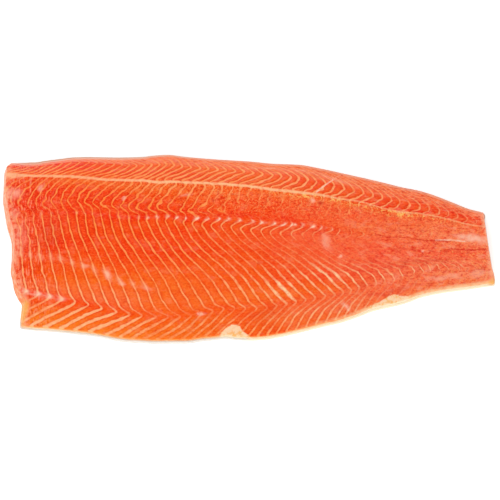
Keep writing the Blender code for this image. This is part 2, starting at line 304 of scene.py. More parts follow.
def row_places():
    rows = []
    for line, count in enumerate(ROWS_BETWEEN_LINES):
        rows.extend(line + k / count for k in range(count))
    rows.append(float(LAST_ROW))
    return np.array(rows)


column_place, column_count = column_places()
rows = row_places()
print(len(rows), "rows and", len(column_place), "columns")

# %% [markdown]
# The tips of the zigzag are sharp in the front half and rounded towards the tail. Blurring the
# shift of the sheets from row to row rounds them, more strongly towards the tail.

# %% Fold the sheets
TIP_BLUR_FRONT = 1.0
TIP_BLUR_REAR = 2.6
REAR_FROM = -40
REAR_TO = 40


def blur_down(values, width):
    """Blurs an array from row to row."""
    reach = int(3 * width + 1)
    weights = np.exp(-0.5 * (np.arange(-reach, reach + 1) / width) ** 2)
    weights /= weights.sum()
    padded = np.pad(values, ((reach, reach), (0, 0)), mode="reflect", reflect_type="odd")
    return sum(w * padded[k:k + len(values)] for k, w in enumerate(weights))


def across_rows(places):
    """How far across each row lies, at its own place or places along the fish."""
    return np.array([across_at(row, place) for row, place in zip(rows, places)])


shift = fold_shift(rows, column_place)
rear = np.clip((column_place - REAR_FROM) / (REAR_TO - REAR_FROM), 0, 1)
shift = (1 - rear) * blur_down(shift, TIP_BLUR_FRONT) + rear * blur_down(shift, TIP_BLUR_REAR)
along = column_place + shift
across = across_rows(along)
height = np.array([height_at(line, row) for row, line in zip(rows, along)])
row_grid = np.repeat(rows[:, None], len(column_place), axis=1)
print("rows usually lie", round(float(np.median(np.diff(across, axis=0))), 2), "mm apart")

# %% [markdown]
# Each row stops at the two knife cuts. The cut is itself a curve across the fillet, so its place
# on a row is found by going back and forth between the two a few times.

# %% Where each row meets the knife cuts
SNAP_TO_CUT = 0.6
ROUNDS_TO_CUT = 8


def cut_places(cut, inward):
    places = np.full(len(rows), float(cut[0][1]))
    for _ in range(ROUNDS_TO_CUT):
        places = along_points(cut, across_rows(places)) + inward
    return places


head_place = cut_places(HEAD_CUT, EDGE_ROUNDING["head"])
tail_place = cut_places(TAIL_CUT, -EDGE_ROUNDING["tail"])
off_head = along < head_place[:, None] + SNAP_TO_CUT
off_tail = along > tail_place[:, None] - SNAP_TO_CUT
inside = ~(off_head | off_tail)
print(int(inside.sum()), "points lie inside the cuts")

# %% [markdown]
# ## What each point knows
# The colours follow the muscle, so every point of the mesh carries what a painter would need:
# which sheet it is on, how far apart the sheets are there, how strong and how wide the pale line
# is, how fat and how pink the flesh is, and its distance from the lines that run lengthways. All
# of them are smooth, so the thin lines can be drawn between the points, sharper than the mesh.
# Several come from small tables, with a row for a place across the fillet and a column for each
# station along it.

# %% Spread a table over the grid
def spread(table):
    """A table's value at every point of the grid."""
    known_rows = list(table)
    at_known = [curve(STATIONS, table[row], along) for row in known_rows]
    values = []
    for k, row in enumerate(rows):
        upper = int(np.clip(np.searchsorted(known_rows, row), 1, len(known_rows) - 1))
        part = (row - known_rows[upper - 1]) / (known_rows[upper] - known_rows[upper - 1])
        values.append((1 - part) * at_known[upper - 1][k] + part * at_known[upper][k])
    return np.array(values)


def say_range(what, values):
    print(what, "from", round(float(values[inside].min()), 2), "to", round(float(values[inside].max()), 2))


say_range("places across", across)

# %% [markdown]
# How clearly a pale line shows changes from place to place. It is bold where fat lies in the
# sheet and where the knife met the sheet squarely, and almost gone in the worked flesh near the
# tail.

# %% Strength of the pale lines, by row and station
LINE_STRENGTH = {
    0: [1.3, 1.0, 0.4, 0.9, 0.8, 0.15, 0.2],
    0.5: [0.2, 1.3, 0.85, 0.7, 0.75, 0.1, 0.1],
    0.9: [0.3, 1.2, 0.45, 0.3, 0.2, 0.1, 0.1],
    1.1: [0.9, 0.5, 0.15, 0.6, 0.5, 0.4, 0.1],
    1.3: [1.7, 1.35, 0.7, 1.0, 0.55, 0.75, 0.15],
    1.6: [1.4, 1.1, 1.3, 0.95, 0.65, 1.0, 0.2],
    2: [1.2, 0.9, 0.65, 0.65, 0.7, 0.35, 0.1],
    3: [0.9, 0.8, 1.15, 0.35, 0.2, 0.05, 0.05],
    3.6: [0.6, 1.8, 0.75, 0.35, 0.1, 0.05, 0.1],
    4: [0.5, 1.3, 1.15, 1.1, 0.25, 0.12, 0.1],
    4.9: [0.42, 0.95, 1.1, 0.65, 0.75, 0.15, 0.1],
    5.2: [0.1, 0.7, 0.6, 0.3, 0.1, 0.1, 0.1],
    5.6: [0.3, 0.6, 0.6, 0.12, 0.1, 0.1, 0.1],
    6: [0.7, 1.1, 1.6, 0.2, 0.1, 0.1, 0.1],
    6.5: [0.9, 1.05, 0.7, 0.6, 0.4, 0.1, 0.1],
    6.85: [0.4, 0.75, 1.6, 0.5, 0.25, 0.3, 0.15],
    7: [0.6, 0.7, 1.2, 1.5, 1.0, 0.4, 0.15],
    7.5: [1.1, 1.1, 1.5, 1.6, 1.0, 0.8, 0.35],
    7.8: [0.8, 0.75, 1.25, 1.35, 1.0, 0.75, 0.3],
    8: [0.3, 0.45, 1.05, 1.1, 0.85, 0.6, 0.15],
    8.4: [0.6, 0.4, 0.6, 0.6, 0.6, 0.4, 0.15],
    9: [0.1, 0.2, 0.2, 0.25, 0.3, 0.3, 0.1],
}
strength = spread(LINE_STRENGTH)
say_range("line strength", strength)

# %% [markdown]
# Fat makes a line wide and turns it from orange to cream. Both are most near the belly edge.

# %% Width in mm and creaminess of the pale lines
LINE_WIDTH = {
    0: [2.4, 2.6, 2.1, 1.5, 1.5, 1.3, 1.2],
    0.8: [1.8, 2.1, 1.7, 1.3, 1.3, 1.1, 1.0],
    1.2: [1.4, 1.3, 1.2, 1.7, 1.7, 1.2, 1.0],
    2: [1.2, 1.2, 1.2, 1.7, 1.7, 1.2, 1.0],
    3: [1.1, 1.2, 1.3, 1.2, 1.2, 1.0, 0.9],
    5: [1.0, 1.1, 1.2, 1.1, 1.0, 0.9, 0.8],
    6: [1.1, 1.2, 1.3, 1.0, 1.0, 0.9, 0.8],
    7: [1.3, 1.5, 1.6, 1.6, 1.6, 1.4, 1.1],
    8: [1.4, 1.5, 1.7, 1.7, 1.7, 1.6, 1.1],
    9: [1.3, 1.3, 1.4, 1.4, 1.4, 1.3, 1.0],
}
LINE_CREAM = {
    0: [0.6, 0.5, 0.2, 0.15, 0.4, 0.7, 0.7],
    0.8: [0.15, 0.55, 0.35, 0.3, 0.5, 0.6, 0.7],
    1.3: [0.45, 0.45, 0.3, 0.25, 0.6, 0.6, 0.7],
    2: [0.35, 0.2, 0.1, 0.4, 0.65, 0.5, 0.5],
    3: [0.3, 0.1, 0.1, 0.2, 0.3, 0.4, 0.4],
    5: [0.2, 0.0, 0.1, 0.3, 0.4, 0.4, 0.4],
    6: [0.1, 0.0, 0.0, 0.1, 0.2, 0.4, 0.4],
    7: [0.1, 0.1, 0.2, 0.2, 0.3, 0.3, 0.4],
    9: [0.1, 0.1, 0.1, 0.2, 0.2, 0.3, 0.3],
}
width = spread(LINE_WIDTH)
cream = spread(LINE_CREAM)
say_range("line width in mm", width)

# %% [markdown]
# The ground between the lines changes too. Fat makes it lighter and more orange towards the belly
# edge and along the back.

# %% Fat, by row and station
FAT = {
    0: [0.9, 0.95, 0.88, 0.38, 0.55, 0.78, 1.0],
    0.5: [0.8, 0.65, 0.65, 0.5, 0.58, 0.25, 0.6],
    1: [0.0, 0.28, 0.42, 0.37, 0.42, 0.3, 0.42],
    1.4: [0.5, 0.58, 0.58, 0.64, 0.5, 0.2, 0.36],
    2: [0.28, 0.57, 0.5, 0.36, 0.24, 0.12, 0.22],
    3: [0.16, 0.2, 0.16, 0.27, 0.28, 0.0, 0.0],
    4: [0.0, 0.18, 0.27, 0.3, 0.24, 0.17, 0.5],
    5: [0.08, 0.04, 0.07, 0.27, 0.2, 0.38, 0.4],
    5.5: [0.0, 0.19, 0.17, 0.12, 0.26, 0.4, 0.24],
    6: [0.0, 0.12, 0.1, 0.12, 0.22, 0.36, 0.4],
    6.5: [0.0, 0.16, 0.32, 0.22, 0.2, 0.24, 0.33],
    6.85: [0.2, 0.6, 0.53, 0.4, 0.44, 0.4, 0.32],
    7: [0.1, 0.4, 0.36, 0.5, 0.43, 0.3, 0.35],
    7.2: [0.15, 0.4, 0.48, 0.52, 0.34, 0.0, 0.1],
    7.5: [0.12, 0.14, 0.26, 0.48, 0.27, 0.28, 0.3],
    8: [0.08, 0.26, 0.55, 0.52, 0.21, 0.2, 0.03],
    8.4: [0.26, 0.62, 0.76, 0.64, 0.7, 0.38, 0.4],
    9: [0.56, 0.73, 0.74, 0.66, 0.78, 0.7, 0.84],
}
fat = spread(FAT)
say_range("fat", fat)

# %% [markdown]
# Bruising and work make the flesh pinker at the head and the tail. Grain says how mottled it is:
# most below the crest and at the tail, where the fibres were torn.

# %% Pink and grain, by row and station
PINK = {
    0: [0.0, 0.0, 0.0, 0.0, 0.05, 0.45, 0.9],
    0.5: [0.0, 0.0, 0.0, 0.05, 0.45, 0.55, 0.9],
    1: [0.0, 0.0, 0.0, 0.05, 0.25, 0.6, 0.75],
    1.4: [0.3, 0.33, 0.1, 0.1, 0.03, 0.62, 0.75],
    2: [0.0, 0.0, 0.05, 0.0, 0.18, 0.58, 0.8],
    3: [0.0, 0.0, 0.0, 0.03, 0.27, 0.48, 0.25],
    4: [0.25, 0.0, 0.0, 0.06, 0.36, 0.42, 1.0],
    5: [0.0, 0.0, 0.0, 0.0, 0.1, 0.55, 0.8],
    5.5: [0.0, 0.0, 0.0, 0.0, 0.15, 0.68, 0.42],
    6: [0.1, 0.0, 0.0, 0.0, 0.2, 0.42, 0.65],
    6.5: [0.0, 0.0, 0.0, 0.05, 0.2, 0.35, 0.6],
    7: [0.05, 0.15, 0.12, 0.05, 0.12, 0.1, 0.35],
    7.2: [0.05, 0.1, 0.2, 0.25, 0.12, 0.0, 0.2],
    7.5: [0.2, 0.0, 0.0, 0.0, 0.0, 0.0, 0.3],
    8: [0.0, 0.0, 0.08, 0.12, 0.03, 0.0, 0.12],
    8.4: [0.3, 0.44, 0.66, 0.66, 0.7, 0.5, 0.6],
    9: [0.6, 0.8, 0.5, 0.3, 0.6, 0.7, 0.8],
}
GRAIN = {
    0: [0.2, 0.15, 0.15, 0.2, 0.25, 0.6, 0.9],
    1: [0.2, 0.15, 0.15, 0.2, 0.25, 0.6, 0.9],
    2: [0.3, 0.2, 0.15, 0.15, 0.2, 0.6, 0.9],
    3: [0.6, 0.3, 0.2, 0.2, 0.3, 0.6, 0.9],
    4: [0.7, 0.35, 0.2, 0.2, 0.4, 0.7, 0.9],
    5: [0.7, 0.5, 0.4, 0.4, 0.5, 0.7, 0.9],
    6: [0.6, 0.6, 0.55, 0.75, 0.7, 0.7, 0.9],
    7: [0.5, 0.65, 0.9, 1.0, 0.95, 0.85, 0.8],
    7.3: [0.3, 0.2, 0.2, 0.2, 0.2, 0.3, 0.4],
    8: [0.2, 0.1, 0.1, 0.1, 0.1, 0.2, 0.3],
    9: [0.4, 0.3, 0.3, 0.3, 0.4, 0.5, 0.5],
}
pink = spread(PINK)
grainy = spread(GRAIN)
say_range("pink", pink)

# %% [markdown]
# ## The wobble of the sheets
# The flank lines are calm. Between the pin bones and the crest they wriggle, and near the tail
# they break up into streaks. So the wobble is a slow one everywhere and a quick one whose size
# depends on the place. It is added to the sheet count itself: relief and colour both read that.

# %% Uneven sheet counts
SLOW_WOBBLE = 0.10
QUICK_WOBBLE = {
    0: [0.04, 0.04, 0.04, 0.04, 0.04, 0.1, 0.15],
    1: [0.05, 0.04, 0.04, 0.06, 0.04, 0.2, 0.3],
    3: [0.14, 0.04, 0.04, 0.04, 0.06, 0.25, 0.3],
    4: [0.17, 0.05, 0.05, 0.06, 0.15, 0.3, 0.3],
    5: [0.2, 0.16, 0.14, 0.16, 0.3, 0.35, 0.3],
    6: [0.2, 0.22, 0.24, 0.45, 0.5, 0.4, 0.3],
    7: [0.12, 0.1, 0.12, 0.15, 0.15, 0.15, 0.2],
    8: [0.05, 0.05, 0.04, 0.05, 0.05, 0.06, 0.1],
    9: [0.1, 0.1, 0.1, 0.1, 0.1, 0.1, 0.1],
}
quick = spread(QUICK_WOBBLE)
sheet = (column_count[None, :]
         + SLOW_WOBBLE * patches(along, across, size=24, seed=3)
         + quick * patches(along, across, size=5.5, seed=4)
         + 0.5 * quick * patches(along, across, size=2.8, seed=5))
say_range("quick wobble, in sheets,", quick)

# %% [markdown]
# A pale line has the same real width whether the sheets stand wide apart or close together. To
# draw it, a point must know how many millimetres one sheet is there, measured square to the line.

# %% Distance between sheets
CLOSEST_SHEETS = 0.8
WIDEST_SHEETS = 12


def spacing_of(along, across, count):
    """Millimetres from sheet to sheet, square to the sheets."""
    dx_row, dx_column = np.gradient(along)
    dy_row, dy_column = np.gradient(across)
    step = np.gradient(count)[None, :]
    area = np.abs(dx_row * dy_column - dy_row * dx_column)
    return area / np.maximum(np.hypot(dx_row, dy_row), 1e-6) / step


spacing = np.clip(spacing_of(along, across, column_count), CLOSEST_SHEETS, WIDEST_SHEETS)
line_distance = np.abs(sheet - np.round(sheet)) * spacing
print("sheets usually lie", round(float(np.median(spacing[inside])), 1), "mm apart")

# %% [markdown]
# ## Relief
# Muscle swells a little between the sheets and each sheet lies in a shallow groove. A knife and
# a rub with a cloth leave the rest: a fine roll and small nicks. All of it is real form here, a
# few tenths of a millimetre deep, so that a low light shows it from any side.

# %% Raise the muscle, sink the lines
GROOVE_DEPTH = 0.32
GROOVE_REACH = 0.9
MUSCLE_SWELL = 0.45
FINE_ROLL = 0.16
HEADROOM = 0.2
# In rows: how soon the relief fades at the long edges, and the grooves at the crest.
FADE_AT_EDGE = 0.25
FADE_AT_CREST = 0.12

edge_fade = np.clip(np.minimum(row_grid, LAST_ROW - row_grid) / FADE_AT_EDGE, 0, 1)
swell = MUSCLE_SWELL * (np.abs(np.sin(np.pi * sheet)) - 0.5)
off_crest = np.clip(np.abs(row_grid - LINES.index("crest")) / FADE_AT_CREST, 0.2, 1)
groove = -GROOVE_DEPTH * strength * off_crest * np.exp(-(line_distance / GROOVE_REACH) ** 2)
roll = FINE_ROLL * (patches(along, across * 2, size=7, seed=7)
                    + 0.6 * patches(along, across * 2, size=3, seed=8))
relief = edge_fade * (swell + groove + roll)
height = height + relief - HEADROOM
say_range("relief in mm", relief)

# %% [markdown]
# ## Distances from the lines that run lengthways
# The fat line along the crest, the row of cut pin bones, the turn of the belly sheets and the
# edge of the belly's lining each leave a mark along the whole fillet. A point knows how far, in
# millimetres, it lies from each.

# %% Lengthways distances
LINING_EDGE = [(-213, -12), (-196.6, -13), (-187, -14), (-168, -17.5), (-158, -20), (-147, -24),
               (-138, -28), (-127, -31), (-114, -39), (-92, -43), (-66, -50), (-50, -52),
               (20, -60), (217, -60)]
# How far the line of fat strays from the crest towards the back.
FAT_LINE_DRIFT = [(-213, 0), (-199, 1.7), (-188, 1.4), (-170, 0.3), (-134, -0.2), (-116, 1.2),
                  (-98, 1.8), (-80, -1.0), (-62, 0.5), (-44, 1.2), (-8, 0.5), (10, -0.4),
                  (46, -1.3), (64, 0), (82, 0.8), (100, 2.5), (118, 0.8), (136, 0), (217, 0)]


def distance_from_line(line):
    return across - across_at(LINES.index(line), along)


crest_mm = distance_from_line("crest") - along_points(FAT_LINE_DRIFT, along)
bone_mm = distance_from_line("pin_bones")
point_mm = distance_from_line("belly_points")
belly_mm = distance_from_line("belly_edge")
back_mm = -distance_from_line("back_edge")
lining_mm = across - along_points(LINING_EDGE, along)
say_range("mm from the crest's fat", crest_mm)

# %% [markdown]
# ## The marks of one particular fillet
# No two fillets are alike. This one has a torn triangle of fat in the belly edge, a mottled patch
# of it nearer the tail, a corner of yellow fat at the head, bruises, small nicks and a long pale
# scratch over the back. One pale ellipse on the tail is a painted highlight, the glint of the wet
# surface there. Soft marks are ellipses. Marks with a sharp edge are areas or strokes, kept
# as a distance in millimetres, which stays sharp however wide the grid is.

# %% Soft ellipses
# Each mark: along, across, half length, half width, turn in degrees, amount.
PALE_MARKS_AND_HIGHLIGHT = [
    (87.0, -59.8, 4.2, 1.4, -56, 0.95), (-186.0, -49.6, 21.0, 1.1, -10.7, 0.5),
    (-188.7, 49.7, 2.7, 2.5, 0, 0.85), (-57.8, 41.8, 5.0, 1.4, 10, 0.4),
    (69.0, -1.0, 4.0, 8.0, 20, 0.42), (156.1, -7.6, 1.3, 1.1, 0, 1.0),
    (81.4, -14.6, 2.6, 1.0, 30, 0.9), (-42.7, -68.4, 3.8, 1.3, 5, 1.0),
    (-113.1, 38.1, 1.6, 1.2, 0, 0.9), (57.6, 38.2, 2.6, 2.6, 0, 0.8),
    # The first mark on this line, on the tail, is a painted highlight: the glint of the wet surface.
    (201.0, 6.0, 15.0, 3.4, -6, 0.9), (-211.0, 26.0, 4.0, 5.0, 0, 0.35),
    (-204.0, 2.0, 6.0, 13.0, 0, 0.22), (-212.0, 45.0, 7.0, 5.0, 0, 0.6),
    (205.0, -26.0, 10.0, 3.0, 8, 0.4), (176.0, -30.0, 16.0, 2.4, 10, 0.4),
    (-126.5, -33.0, 4.6, 2.6, -60, 0.7), (-114.0, -40.0, 3.4, 1.6, -20, 0.5),
    (-92.0, -44.5, 6.0, 1.6, -10, 0.35), (-147.0, -25.0, 3.0, 1.6, 0, 0.4),
    (19.0, 75.3, 20.0, 1.1, 0, 0.35), (51.0, 72.5, 15.0, 1.1, -13, 0.35),
    (78.0, 64.5, 15.0, 1.1, -20, 0.35),
]
DARK_MARKS = [
    (-61.2, 37.6, 1.4, 1.2, 0, 0.9), (-14.5, 42.6, 1.4, 1.2, 0, 0.9),
    (8.4, -21.7, 1.2, 1.0, 0, 1.0), (64.5, 35.6, 2.6, 1.8, 0, 0.8),
    (156.0, -17.0, 26.0, 1.6, 4, 0.3), (134.0, -43.0, 9.0, 2.0, 20, 0.3),
    (-178.0, 5.0, 9.0, 18.0, 0, 0.2), (15.0, -68.0, 14.0, 6.0, 30, 0.15),
]
# Where the fat in the sheets is thicker.
THICK_PLACES = [(30, -47, 15, 8, -52, 1.0), (66, -26, 22, 6, -36, 0.5)]
print(len(PALE_MARKS_AND_HIGHLIGHT) + len(DARK_MARKS), "soft marks")

# %% [markdown]
# Where marks overlap, the stronger one shows. Their outlines wobble a little, so that none of them
# looks drawn with a compass. The same ellipses make the sheets wider and creamier where the fat in
# them is thicker.

# %% Lay the ellipses on the grid
MARK_WOBBLE = 1.2
WIDER_BY = 1.3
CREAMIER_BY = 0.5


def ellipses(marks):
    """The strongest of the marks at each point of the grid."""
    x = along + MARK_WOBBLE * patches(along, across, size=4.0, seed=21)
    y = across + MARK_WOBBLE * patches(along, across, size=4.0, seed=22)
    total = np.zeros_like(along)
    for centre_x, centre_y, length, width_of_mark, turn, amount in marks:
        angle = math.radians(turn)
        u = (x - centre_x) * math.cos(angle) + (y - centre_y) * math.sin(angle)
        v = (y - centre_y) * math.cos(angle) - (x - centre_x) * math.sin(angle)
        far = (u / length) ** 2 + (v / width_of_mark) ** 2
        total = np.maximum(total, amount * np.exp(-far ** 1.5))
    return total


thick = ellipses(THICK_PLACES)
width = width + WIDER_BY * thick
cream = cream + CREAMIER_BY * thick
pale_marks_and_highlight = ellipses(PALE_MARKS_AND_HIGHLIGHT)
dark_marks = ellipses(DARK_MARKS)
say_range("pale marks", pale_marks_and_highlight)

# %% [markdown]
# A torn or cut edge is sharp. Each area is drawn as a polygon and each stroke as a bent line, in
# millimetres.

# %% Areas and strokes with a sharp edge
FAT_AREAS = [
    [(-27, -92), (-26, -86.5), (-20.7, -80.5), (-14.4, -77.5), (-9, -78.5), (-5.4, -84),
     (1, -88.5), (1, -92)],
    [(98, -70), (101.7, -63.5), (108.9, -58.2), (117.9, -53.8), (125.1, -49.0), (131.4, -47.0),
     (137.7, -48.8), (152, -47.4), (160, -60), (120, -70)],
]
YELLOW_AREAS = [
    [(208, -40), (214, -36), (219, -31), (227, -30), (227, -52), (206, -52)],
    [(-212, -50), (-202, -53), (-197, -57), (-199, -65), (-201, -71), (-204, -80), (-212, -80)],
]
PALE_STROKES = [[(85.0, -57.2), (87.0, -59.0), (88.9, -63.0)],
                [(84.1, 71.8), (69.1, 56.7), (60.8, 46.5)], [(167.9, 2.6), (180.0, 3.4), (194.2, 2.4)]]
DARK_STROKES = [[(-32.5, 37.0), (-27.0, 37.6), (-21.8, 39.7)],
                [(113.4, 7.6), (119.0, 5.6), (127.0, 4.9), (140.0, 4.6), (158.0, 2.4), (180.8, 2.0)],
                [(172.1, -6.2), (186.0, -5.0), (199.0, -5.6), (213.4, -4.6)]]
print(len(FAT_AREAS + YELLOW_AREAS), "areas and", len(PALE_STROKES + DARK_STROKES), "strokes")

# %% [markdown]
# The distance to each is worked out at every point, so the colour can begin exactly there and
# still be made ragged by noise. A point is inside an area if a line from it crosses the area's
# outline an odd number of times.

# %% Distance to a stroke and to an area
FARTHEST = 20.0


def stroke_distance(strokes):
    """Distance in mm from each point of the grid to the nearest stroke."""
    nearest = np.full_like(along, FARTHEST)
    for stroke in strokes:
        for (x0, y0), (x1, y1) in zip(stroke, stroke[1:]):
            step_x = x1 - x0
            step_y = y1 - y0
            part = ((along - x0) * step_x + (across - y0) * step_y) / (step_x**2 + step_y**2)
            part = np.clip(part, 0, 1)
            gap = np.hypot(along - x0 - part * step_x, across - y0 - part * step_y)
            nearest = np.minimum(nearest, gap)
    return nearest


def area_distance(areas):
    """Distance in mm outside the nearest area, negative inside it."""
    signed = np.full_like(along, FARTHEST)
    for corners in areas:
        closed = corners + corners[:1]
        within = np.zeros(along.shape, dtype=bool)
        for (x0, y0), (x1, y1) in zip(closed, closed[1:]):
            if y0 != y1:
                spans = (across < y0) != (across < y1)
                within ^= spans & (along < x0 + (across - y0) * (x1 - x0) / (y1 - y0))
        edge = stroke_distance([closed])
        signed = np.minimum(signed, np.where(within, -edge, edge))
    return signed


fat_area = area_distance(FAT_AREAS)
yellow_area = area_distance(YELLOW_AREAS)
pale_stroke = stroke_distance(PALE_STROKES)
dark_stroke = stroke_distance(DARK_STROKES)
say_range("mm from the areas of fat", fat_area)

# %% [markdown]
# A dark stroke is a crack between fibres, so the surface sinks along it, and its colour is later
# darkened as painted shade in that groove. Fat that was left on the flesh stands up a little.

# %% Cracks and raised fat
CRACK_DEPTH = 0.35
CRACK_REACH = 1.0
FAT_RISE = 0.35
FAT_SLOPE = 2

height = height - edge_fade * CRACK_DEPTH * np.exp(-(dark_stroke / CRACK_REACH) ** 2)
height = height + edge_fade * FAT_RISE * np.clip(-fat_area / FAT_SLOPE, 0, 1)
say_range("height in mm", height)

# %% [markdown]
# ## Making the flesh mesh
# The grid gives the top. Its outer ring is then led down the walls: rounded over at the belly and
# the back, slanted at the two knife cuts, as the blade left them. The foot closes with one flat
# face, hidden on the skin.

# %% Number the points of the grid
def number_points():
    """Index of each grid point, with collapsed columns sharing the point on their cut."""
    index = np.zeros(along.shape, dtype=int)
    index[inside] = np.arange(int(inside.sum()))
    first_head = int(inside.sum())
    first_tail = first_head + len(rows)
    row_number = np.repeat(np.arange(len(rows))[:, None], along.shape[1], axis=1)
    index[off_head] = first_head + row_number[off_head]
    index[off_tail] = first_tail + row_number[off_tail]
    return index


index = number_points()
print(int(index.max()) + 1, "points on top")

# %% [markdown]
# Everything a point knows is handed over in one list, in the order of those numbers. On the two
# cuts it is read between the columns to either side.

# %% Hand over what the points know
def with_cut_ends(values):
    """A grid of values as one list, with those on the head cut and the tail cut added."""
    head = [np.interp(head_place[k], along[k], values[k]) for k in range(len(rows))]
    tail = [np.interp(tail_place[k], along[k], values[k]) for k in range(len(rows))]
    return np.concatenate([values[inside], head, tail])


top_points = np.column_stack([
    np.concatenate([along[inside], head_place, tail_place]),
    np.concatenate([across[inside], across_rows(head_place), across_rows(tail_place)]),
    with_cut_ends(height)])
grids = {
    "sheet": sheet, "spacing": spacing, "line_strength": strength, "line_width": width,
    "cream": cream, "belly_mm": belly_mm, "back_mm": back_mm, "fat": fat, "pink": pink,
    "grain": grainy, "crest_mm": crest_mm, "bone_mm": bone_mm, "point_mm": point_mm,
    "lining_mm": lining_mm, "pale_marks_and_highlight": pale_marks_and_highlight, "dark_marks": dark_marks,
    "fat_area": fat_area, "yellow_area": yellow_area, "pale_stroke": pale_stroke,
    "dark_stroke": dark_stroke, "head_mm": along - head_place[:, None],
    "tail_mm": tail_place[:, None] - along,
}
known = {name: with_cut_ends(values) for name, values in grids.items()}
print("each point knows", len(known), "things")

# %% [markdown]
# Four neighbours in the grid make a face. Near a cut some of the four are the same point, so a
# face there may have three corners, or vanish. The outer ring is gathered side by side, going
# round once, because the walls need to know which side they are on.

# %% Faces of the top
def top_faces():
    faces = []
    for lower, upper in zip(index, index[1:]):
        for i in range(along.shape[1] - 1):
            corners = dict.fromkeys((lower[i], lower[i + 1], upper[i + 1], upper[i]))
            if len(corners) > 2:
                faces.append(tuple(int(c) for c in corners))
    return faces


faces = top_faces()
belly_ring = list(dict.fromkeys(index[0].tolist()))
back_ring = list(dict.fromkeys(index[-1].tolist()))
tail_ring = index[1:-1, -1].tolist()
head_ring = index[1:-1, 0].tolist()
ring = belly_ring + tail_ring + back_ring[::-1] + head_ring[::-1]
ring_side = np.array(["belly"] * len(belly_ring) + ["tail"] * len(tail_ring)
                     + ["back"] * len(back_ring) + ["head"] * len(head_ring))
print(len(faces), "faces on top,", len(ring), "points round the edge")

# %% [markdown]
# ## The walls
# Each wall ring steps outwards and down from the one above. The belly and the back use a rounded
# profile, the cuts a straight slanted one, and the corners a blend of the two. A slanted cut also
# shows the sheets in section, so the sheet count runs on down the wall.

# %% Wall profiles and rings
SKIN_THICKNESS = 1.2
GAP_ON_SKIN = 0.1
FOOT = SKIN_THICKNESS + GAP_ON_SKIN
WALL_DROPS = (0.04, 0.09, 0.15, 0.22, 0.30, 0.42, 0.55, 0.70, 0.85, 1.0)
ROUNDED_WALL = [(0.0, 0.0), (0.12, 0.62), (0.30, 1.0), (1.0, 1.0)]
SLANTED_WALL = [(0.0, 0.0), (0.12, 0.20), (0.30, 0.38), (1.0, 1.0)]
SHEETS_DOWN_CUT = 1.6


def ring_blend(values, rounds=12):
    """Evens out a value from point to point round the closed ring."""
    values = np.asarray(values, dtype=float)
    for _ in range(rounds):
        values = 0.25 * np.roll(values, 1) + 0.5 * values + 0.25 * np.roll(values, -1)
    return values


def outward_directions(outline):
    tangent = np.roll(outline, -2, axis=0) - np.roll(outline, 2, axis=0)
    normal = np.stack([tangent[:, 1], -tangent[:, 0]], axis=1)
    return normal / np.linalg.norm(normal, axis=1)[:, None]


def ring_faces(first, second):
    """A closed band of faces between two rings of points."""
    pairs = list(zip(first, second))
    return [(a, next_a, next_b, b) for (a, b), (next_a, next_b) in zip(pairs, pairs[1:] + pairs[:1])]


print(len(WALL_DROPS), "rings make the wall")

# %% [markdown]
# Which side a point is on is blended round the ring, so the four kinds of wall run into each other
# at the corners. Each ring takes over what the points above it know.

# %% Step the ring outwards and down
top_outline = top_points[ring, :2]
top_height = top_points[ring, 2]
outward = outward_directions(top_outline)
rounding = ring_blend([EDGE_ROUNDING[side] for side in ring_side])
slant = ring_blend(np.isin(ring_side, ("head", "tail")).astype(float))
belly_side = ring_blend((ring_side == "belly").astype(float))

points = [top_points]
wall = {name: [] for name in known}
previous = ring
count = len(top_points)
for drop in WALL_DROPS:
    out = rounding * ((1 - slant) * along_points(ROUNDED_WALL, drop)
                      + slant * along_points(SLANTED_WALL, drop))
    outline = top_outline + outward * out[:, None]
    level = top_height + drop * (FOOT - top_height)
    points.append(np.column_stack([outline, level]))
    for name in known:
        values = known[name][ring].copy()
        if name == "sheet":
            values += SHEETS_DOWN_CUT * drop * slant
        wall[name].append(values)
    here = list(range(count, count + len(ring)))
    faces.extend(ring_faces(here, previous))
    previous = here
    count += len(ring)
faces.append(tuple(previous[::-1]))
foot_outline = outline
print(count, "points in all")

# %% [markdown]
# Three more things are known of the walls alone: how far down a point lies, and how much it
# belongs to a knife cut or to the belly. The middle of the skin's widest outline, which is worked
# out here from the foot of the wall, is the origin of the whole fillet.

# %% What the walls know, and the middle
SKIN_OUT = 1.5
CUT_OVERHANG = 0.1

all_points = np.concatenate(points)
outward = outward_directions(foot_outline)
on_edge = ring_blend(np.isin(ring_side, ("belly", "back")).astype(float))
step_out = np.clip(2 * on_edge, 0, 1)
widest = foot_outline + outward * ((1 - step_out) * CUT_OVERHANG + step_out * SKIN_OUT)[:, None]
middle = (widest.min(axis=0) + widest.max(axis=0)) / 2
print("the origin lies under", np.round(middle, 2))
on_top = [np.zeros(len(top_points))]
attributes = {name: np.concatenate([known[name]] + wall[name]) for name in known}
attributes["down"] = np.concatenate(on_top + [np.full(len(ring), drop) for drop in WALL_DROPS])
attributes["on_cut"] = np.concatenate(on_top + [slant] * len(WALL_DROPS))
attributes["on_belly"] = np.concatenate(on_top + [belly_side] * len(WALL_DROPS))
print("the points of the walls know", len(attributes) - len(known), "things more")

# %% [markdown]
# A mesh is made in one call from its points and faces. What the points know goes along as named
# attributes, which the material reads later. Edges sharper than 50 degrees stay crisp.

# %% Make the flesh
SHARP_ANGLE = math.radians(50)


def make_piece(name, points, faces, attributes):
    data = bpy.data.meshes.new(name)
    data.from_pydata(((points - (*middle, 0)) * MM).tolist(), [], faces)
    data.update()
    for key, values in attributes.items():
        layer = data.attributes.new(key, "FLOAT", "POINT")
        layer.data.foreach_set("value", np.asarray(values, dtype=np.float32))
    data.shade_smooth()
    data.set_sharp_from_angle(angle=SHARP_ANGLE)
    piece = bpy.data.objects.new(name, data)
    bpy.context.scene.collection.objects.link(piece)
    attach(piece, "root")
    print(name, "has", len(data.polygons), "faces")
    return piece


